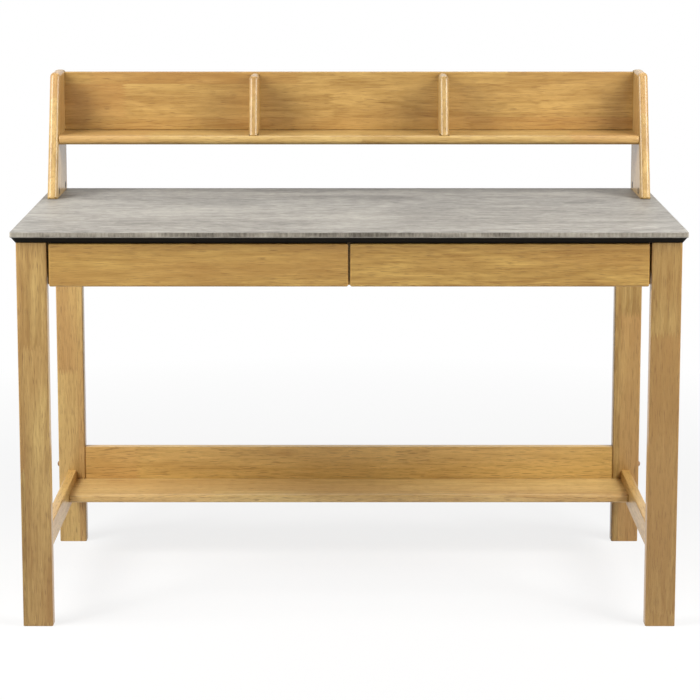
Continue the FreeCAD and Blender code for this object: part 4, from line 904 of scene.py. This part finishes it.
# %% The laminate's face
# Clouds per metre, detail, roughness and warp, and then how much of each makes the tone
STONE_CLOUDS = {
    "broad": ((2.6, 6.0, 6.0), 3.0, 0.55, 1.2), "bands": ((7.0, 60.0, 60.0), 4.0, 0.62, 0.9),
    "dashes": ((60.0, 420.0, 420.0), 3.0, 0.65, 0.3), "clumps": ((34.0, 60.0, 60.0), 5.0, 0.68, 0.8)}
STONE_SHARES = {"broad": 0.5, "bands": 0.42, "dashes": 0.4, "clumps": 0.6}
TONE_FROM, TONE_TO = 0.72, 1.22
GREYS = [(0.0, paint(106, 103, 97)), (0.5, paint(147, 143, 136)), (1.0, paint(182, 178, 168))]
stone, tree, inputs, here = new_material("brushed_stone_laminate", Specular_IOR_Level=0.12)
cloud = {name: noise(tree, here, *values) for name, values in STONE_CLOUDS.items()}
tone = total(tree, *[times(tree, cloud[name], share) for name, share in STONE_SHARES.items()])
grey = put(tree, "ShaderNodeValToRGB", {0: ramped(tree, tone, TONE_FROM, TONE_TO)})
while len(grey.color_ramp.elements) < len(GREYS):
    grey.color_ramp.elements.new(0.5)
for stop, (place, colour) in zip(grey.color_ramp.elements, GREYS):
    stop.position, stop.color = place, colour

# %% The laminate's edge
EDGE_FROM, EDGE_TO = TOP_LOW[2] + 1.5 * MM, TOP_HIGH[2] - 1.6 * MM
FADE_LOW, FADE_HIGH = 0.4 * MM, 0.5 * MM
EDGE_DARK, EDGE_LIGHT = paint(98, 92, 82), paint(186, 178, 163)
MOTTLE = [(0.6, (16.0, 16.0, 40.0), 3.0, 0.5), (0.4, (190.0, 190.0, 45.0), 3.0, 0.6)]
MOTTLE_FROM, MOTTLE_TO = 0.36, 0.66
STONE_ROUGHNESS, STONE_MARKS, STONE_RELIEF, STONE_RELIEF_STRENGTH = 0.5, 0.2, 0.0002, 0.5
height = put(tree, "ShaderNodeSeparateXYZ", {0: here}).outputs[2]
on_edge = times(tree, ramped(tree, height, EDGE_FROM - FADE_LOW, EDGE_FROM + FADE_LOW),
                ramped(tree, height, EDGE_TO + FADE_HIGH, EDGE_TO - FADE_HIGH))
mottle = total(tree, *[times(tree, noise(tree, here, *values), share) for share, *values in MOTTLE])
edge_tone = mixed(tree, ramped(tree, mottle, MOTTLE_FROM, MOTTLE_TO), EDGE_DARK, EDGE_LIGHT)
tree.links.new(mixed(tree, on_edge, grey.outputs[0], edge_tone), inputs["Base Color"])
handled(tree, here, inputs, STONE_ROUGHNESS, STONE_MARKS)
bump(tree, total(tree, cloud["dashes"], cloud["clumps"]), inputs, STONE_RELIEF,
     STONE_RELIEF_STRENGTH)
finishes["stone_top"] = stone
print("the laminate's tree has", len(tree.nodes), "nodes")

# %% [markdown]
# ## Black board and brown caps
# Both are nearly one colour: the backing board is a dense satin sheet, the caps are moulded
# plastic. A plain colour alone looks like paint on a screen, so one function gives both a
# faint fleck, which mixes two close tones and gives the surface a slight grain.


# %% Two plain finishes
FLECK_STRENGTH = 0.3


def flecked(name, flecks, first, second, span, roughness, marks, relief, **constants):
    """A plain finish with so many flecks per metre. As the fleck's value goes from span's low
    to its high end, the first colour turns into the second. relief is the bump's height."""
    material, tree, inputs, here = new_material(name, **constants)
    fleck = noise(tree, here, (flecks,) * 3, 2.0, 0.6)
    tone = mixed(tree, ramped(tree, fleck, *span), paint(*first), paint(*second))
    tree.links.new(tone, inputs["Base Color"])
    handled(tree, here, inputs, roughness, marks)
    bump(tree, fleck, inputs, relief, FLECK_STRENGTH)
    return material


finishes["black_backer"] = flecked("black_backing_board", 300.0, (12, 9, 3), (28, 23, 13),
                                   (0.5, 0.8), 0.42, 0.15, 0.0001, Specular_IOR_Level=0.08)
finishes["cap_plastic"] = flecked("brown_cap_plastic", 900.0, (150, 108, 62), (132, 92, 50),
                                  (0.0, 1.0), 0.4, 0.15, 0.00005)

# %% [markdown]
# ## Metals
# The slides are rolled from bright zinc-plated strip, so they carry fine lines along their
# length. Screws and bolts are plated too but plain, the cams are a dark casting, and the
# balls are polished. One function makes all of these: a tone, how rough, and how far the
# drawn lines are stretched.


# %% Metals
PLATING, PLATING_FROM, PLATING_TO = (60.0, 60.0, 60.0), 0.32, 0.68
LINE_RELIEF, LINE_STRENGTH = 0.00005, 0.4


def metal_material(name, light, dark, roughness, stretch, marks):
    """Plated or polished metal: drawn lines, faint clouds in the plating, and smears."""
    material, tree, inputs, here = new_material(name, Metallic=1.0)
    lines = noise(tree, here, stretch, 2.0, 0.6)
    clouds = noise(tree, here, PLATING, 3.0, 0.6, 0.6)
    tone = ramped(tree, total(tree, times(tree, lines, 0.5), times(tree, clouds, 0.5)),
                  PLATING_FROM, PLATING_TO)
    tree.links.new(mixed(tree, tone, paint(*dark), paint(*light)), inputs["Base Color"])
    handled(tree, here, inputs, roughness, marks)
    bump(tree, lines, inputs, LINE_RELIEF, LINE_STRENGTH)
    return material


# For each slot: name, light and dark tone, roughness, lines per metre and marks of handling
METALS = {
    "slide_steel": ("rolled_zinc_strip", (208, 210, 212), (176, 178, 182), 0.3,
                    (900.0, 14.0, 900.0), 0.25),
    "cage_steel": ("cage_strip", (190, 188, 184), (156, 154, 150), 0.4, (700.0, 20.0, 700.0), 0.2),
    "ball_steel": ("polished_ball_steel", (232, 232, 234), (214, 214, 218), 0.1,
                   (200.0, 200.0, 200.0), 0.06),
    "zinc_screw": ("plated_screw_zinc", (214, 208, 190), (180, 172, 150), 0.32,
                   (400.0, 400.0, 400.0), 0.2),
    "zinc_steel": ("plated_bracket_zinc", (206, 206, 200), (170, 170, 166), 0.36,
                   (260.0, 260.0, 260.0), 0.25),
    "cam_metal": ("dark_cam_casting", (74, 68, 60), (44, 40, 36), 0.55, (300.0, 300.0, 300.0), 0.2),
}
for slot, values in METALS.items():
    finishes[slot] = metal_material(*values)
print(len(finishes), "finishes, one for each slot")

# %% [markdown]
# ## Dressing every piece
# Each new piece takes its slot's finish. A few share a slot but lie another way, so they get
# a wood of their own with its grain turned. The loaded parts that stay in view, such as the
# slides and the fixings, have their slots filled with the same finishes.

# %% Give each piece its finish
OWN_WOODS = {
    "side_rail_wood": ["centre_partition_board"] + [
        f"{part}_{name}_board" for part in ("side_apron", "side_stretcher", "slide_packer")
        for name in SIDES],
    "foot_shelf_wood": ["foot_shelf_board"], "hutch_shelf_wood": ["hutch_shelf_board"],
    "hutch_upright_wood": [f"hutch_{name}_{part}" for part in ("panel", "divider")
                           for name in SIDES],
}
OWN_FINISH = {piece: woods[name] for name, pieces in OWN_WOODS.items() for piece in pieces}
for name, slot in made.items():
    bpy.data.objects[name].data.materials.append(OWN_FINISH.get(name, finishes[slot]))

slot_of = {part["node"]: part["material_slot"] for part in frame["record"]["subparts"]}
for node, piece in frame["nodes"].items():
    piece.data.materials.clear()
    piece.data.materials.append(finishes[slot_of[node]])
print(len(made), "new pieces and", len(frame["nodes"]), "loaded parts have a finish")

# %% [markdown]
# ## Floor, lamps and camera
# The desk stands on a pale floor that runs on to the horizon. To the camera the floor is
# blended with plain white, so the background stays white while the desk keeps its soft
# shadow. A soft box stands at each side in front, with a small bright lamp above it that
# gives the shadows an edge: they throw the dividers' slanted shadows on the back board. A
# weaker box behind lights the top and the foot shelf, and a dim white sky fills the rest. An
# area lamp shines along its own downward direction, so each is turned until that points at
# the desk.

# %% Floor and sky
FLOOR_REACH, FLOOR_GREY = 60.0, 0.8
WHITE_NEAR, FADE_FROM, FADE_TO, SKY_FILL = 0.8, 0.9, 2.2, 0.03
floor_mesh = bpy.data.meshes.new("studio_floor")
floor_corners = box_outline((-FLOOR_REACH, -FLOOR_REACH), (FLOOR_REACH, FLOOR_REACH))
floor_mesh.from_pydata([(x, y, 0) for x, y in floor_corners], [], [(0, 1, 2, 3)])
floor = bpy.data.objects.new("studio_floor", floor_mesh)
bpy.context.collection.objects.link(floor)
pale, tree, inputs, here = new_material("pale_floor", Roughness=0.8, Specular_IOR_Level=0.1)
inputs["Base Color"].default_value = (FLOOR_GREY, FLOOR_GREY, FLOOR_GREY, 1)
seen = put(tree, "ShaderNodeLightPath").outputs
glow = put(tree, "ShaderNodeEmission", {"Color": (1, 1, 1, 1), "Strength": 1.0})
away = put(tree, "ShaderNodeVectorMath", {0: here}, operation="LENGTH").outputs["Value"]
whiter = total(tree, WHITE_NEAR,
               times(tree, ramped(tree, away, FADE_FROM, FADE_TO), 1 - WHITE_NEAR))
share = times(tree, sums(tree, "MAXIMUM", seen["Is Camera Ray"], seen["Is Glossy Ray"]), whiter)
both = put(tree, "ShaderNodeMixShader", {0: share, 1: tree.nodes["Principled BSDF"].outputs[0],
                                         2: glow.outputs[0]})
tree.links.new(both.outputs[0], tree.nodes["Material Output"].inputs[0])
floor_mesh.materials.append(pale)

world = bpy.data.worlds.new("studio_sky")
bpy.context.scene.world = world
world.use_nodes = True
tree = world.node_tree
seen = put(tree, "ShaderNodeLightPath").outputs
direct = sums(tree, "MAXIMUM", sums(tree, "MAXIMUM", seen["Is Camera Ray"],
                                    seen["Is Glossy Ray"]), seen["Is Transmission Ray"])
strength = total(tree, SKY_FILL, times(tree, direct, 1 - SKY_FILL))
background = tree.nodes["Background"]
background.inputs[0].default_value = (1, 1, 1, 1)
tree.links.new(strength, background.inputs[1])
print("the floor reaches", FLOOR_REACH, "m each way and looks plain white beyond", FADE_TO, "m")

# %% Soft boxes
AIM = (0.0, 0.1, 0.75)
BOX_OUT, SMALL_OUT, BOX_FORWARD, BOX_UP, SMALL_UP = 1.7, 1.2, -0.82, 1.75, 2.24
BACK_PLACE = (0.0, 1.3, 2.7)
BOX_SIZE, SMALL_SIZE, BACK_SIZE = 1.06, 0.12, 1.65
BOX_POWER, SMALL_POWER, BACK_POWER = {"left": 51, "right": 48}, 5, 16


def soft_box(name, place, size, power):
    """A square area lamp at a place, turned to shine at the desk, unseen by the camera."""
    lamp = bpy.data.lights.new(name, "AREA")
    lamp.shape, lamp.size, lamp.energy = "SQUARE", size, power
    holder = bpy.data.objects.new(name, lamp)
    holder.visible_camera = False
    holder.location = place
    holder.rotation_euler = (Vector(AIM) - Vector(place)).to_track_quat("-Z", "Y").to_euler()
    bpy.context.collection.objects.link(holder)


for name, side in SIDES.items():
    soft_box(f"{name}_soft_box", (BOX_OUT * side, BOX_FORWARD, BOX_UP), BOX_SIZE, BOX_POWER[name])
    soft_box(f"{name}_small_box", (SMALL_OUT * side, BOX_FORWARD, SMALL_UP), SMALL_SIZE,
             SMALL_POWER)
soft_box("back_soft_box", BACK_PLACE, BACK_SIZE, BACK_POWER)
print(len(bpy.data.lights), "lamps, aimed at", AIM)

# %% [markdown]
# ## The camera
# The photograph looks slightly down from a good distance, with a long lens. The camera's
# place and tilt were found beforehand by matching the corners of the desk. Moving the frame
# against the lens, as a view camera can, keeps the uprights nearly parallel.

# %% Camera
EYE, TILT_DOWN = (-0.004, -4.4596, 1.3565), 8.4716
SENSOR, LENS, SHIFT_X, SHIFT_Y, SEES_TO = 36.0, 120.569, 0.00441, -0.17, 200.0
camera_data = bpy.data.cameras.new("camera")
camera_data.sensor_width, camera_data.lens = SENSOR, LENS
camera_data.shift_x, camera_data.shift_y = SHIFT_X, SHIFT_Y
camera_data.clip_end = SEES_TO
camera = bpy.data.objects.new("camera", camera_data)
camera.location = EYE
camera.rotation_euler = (math.radians(90 - TILT_DOWN), 0.0, 0.0)
bpy.context.collection.objects.link(camera)
bpy.context.scene.camera = camera
bpy.context.scene.view_settings.view_transform = "Standard"
print("the camera stands at", EYE, "with a lens of", LENS, "mm")
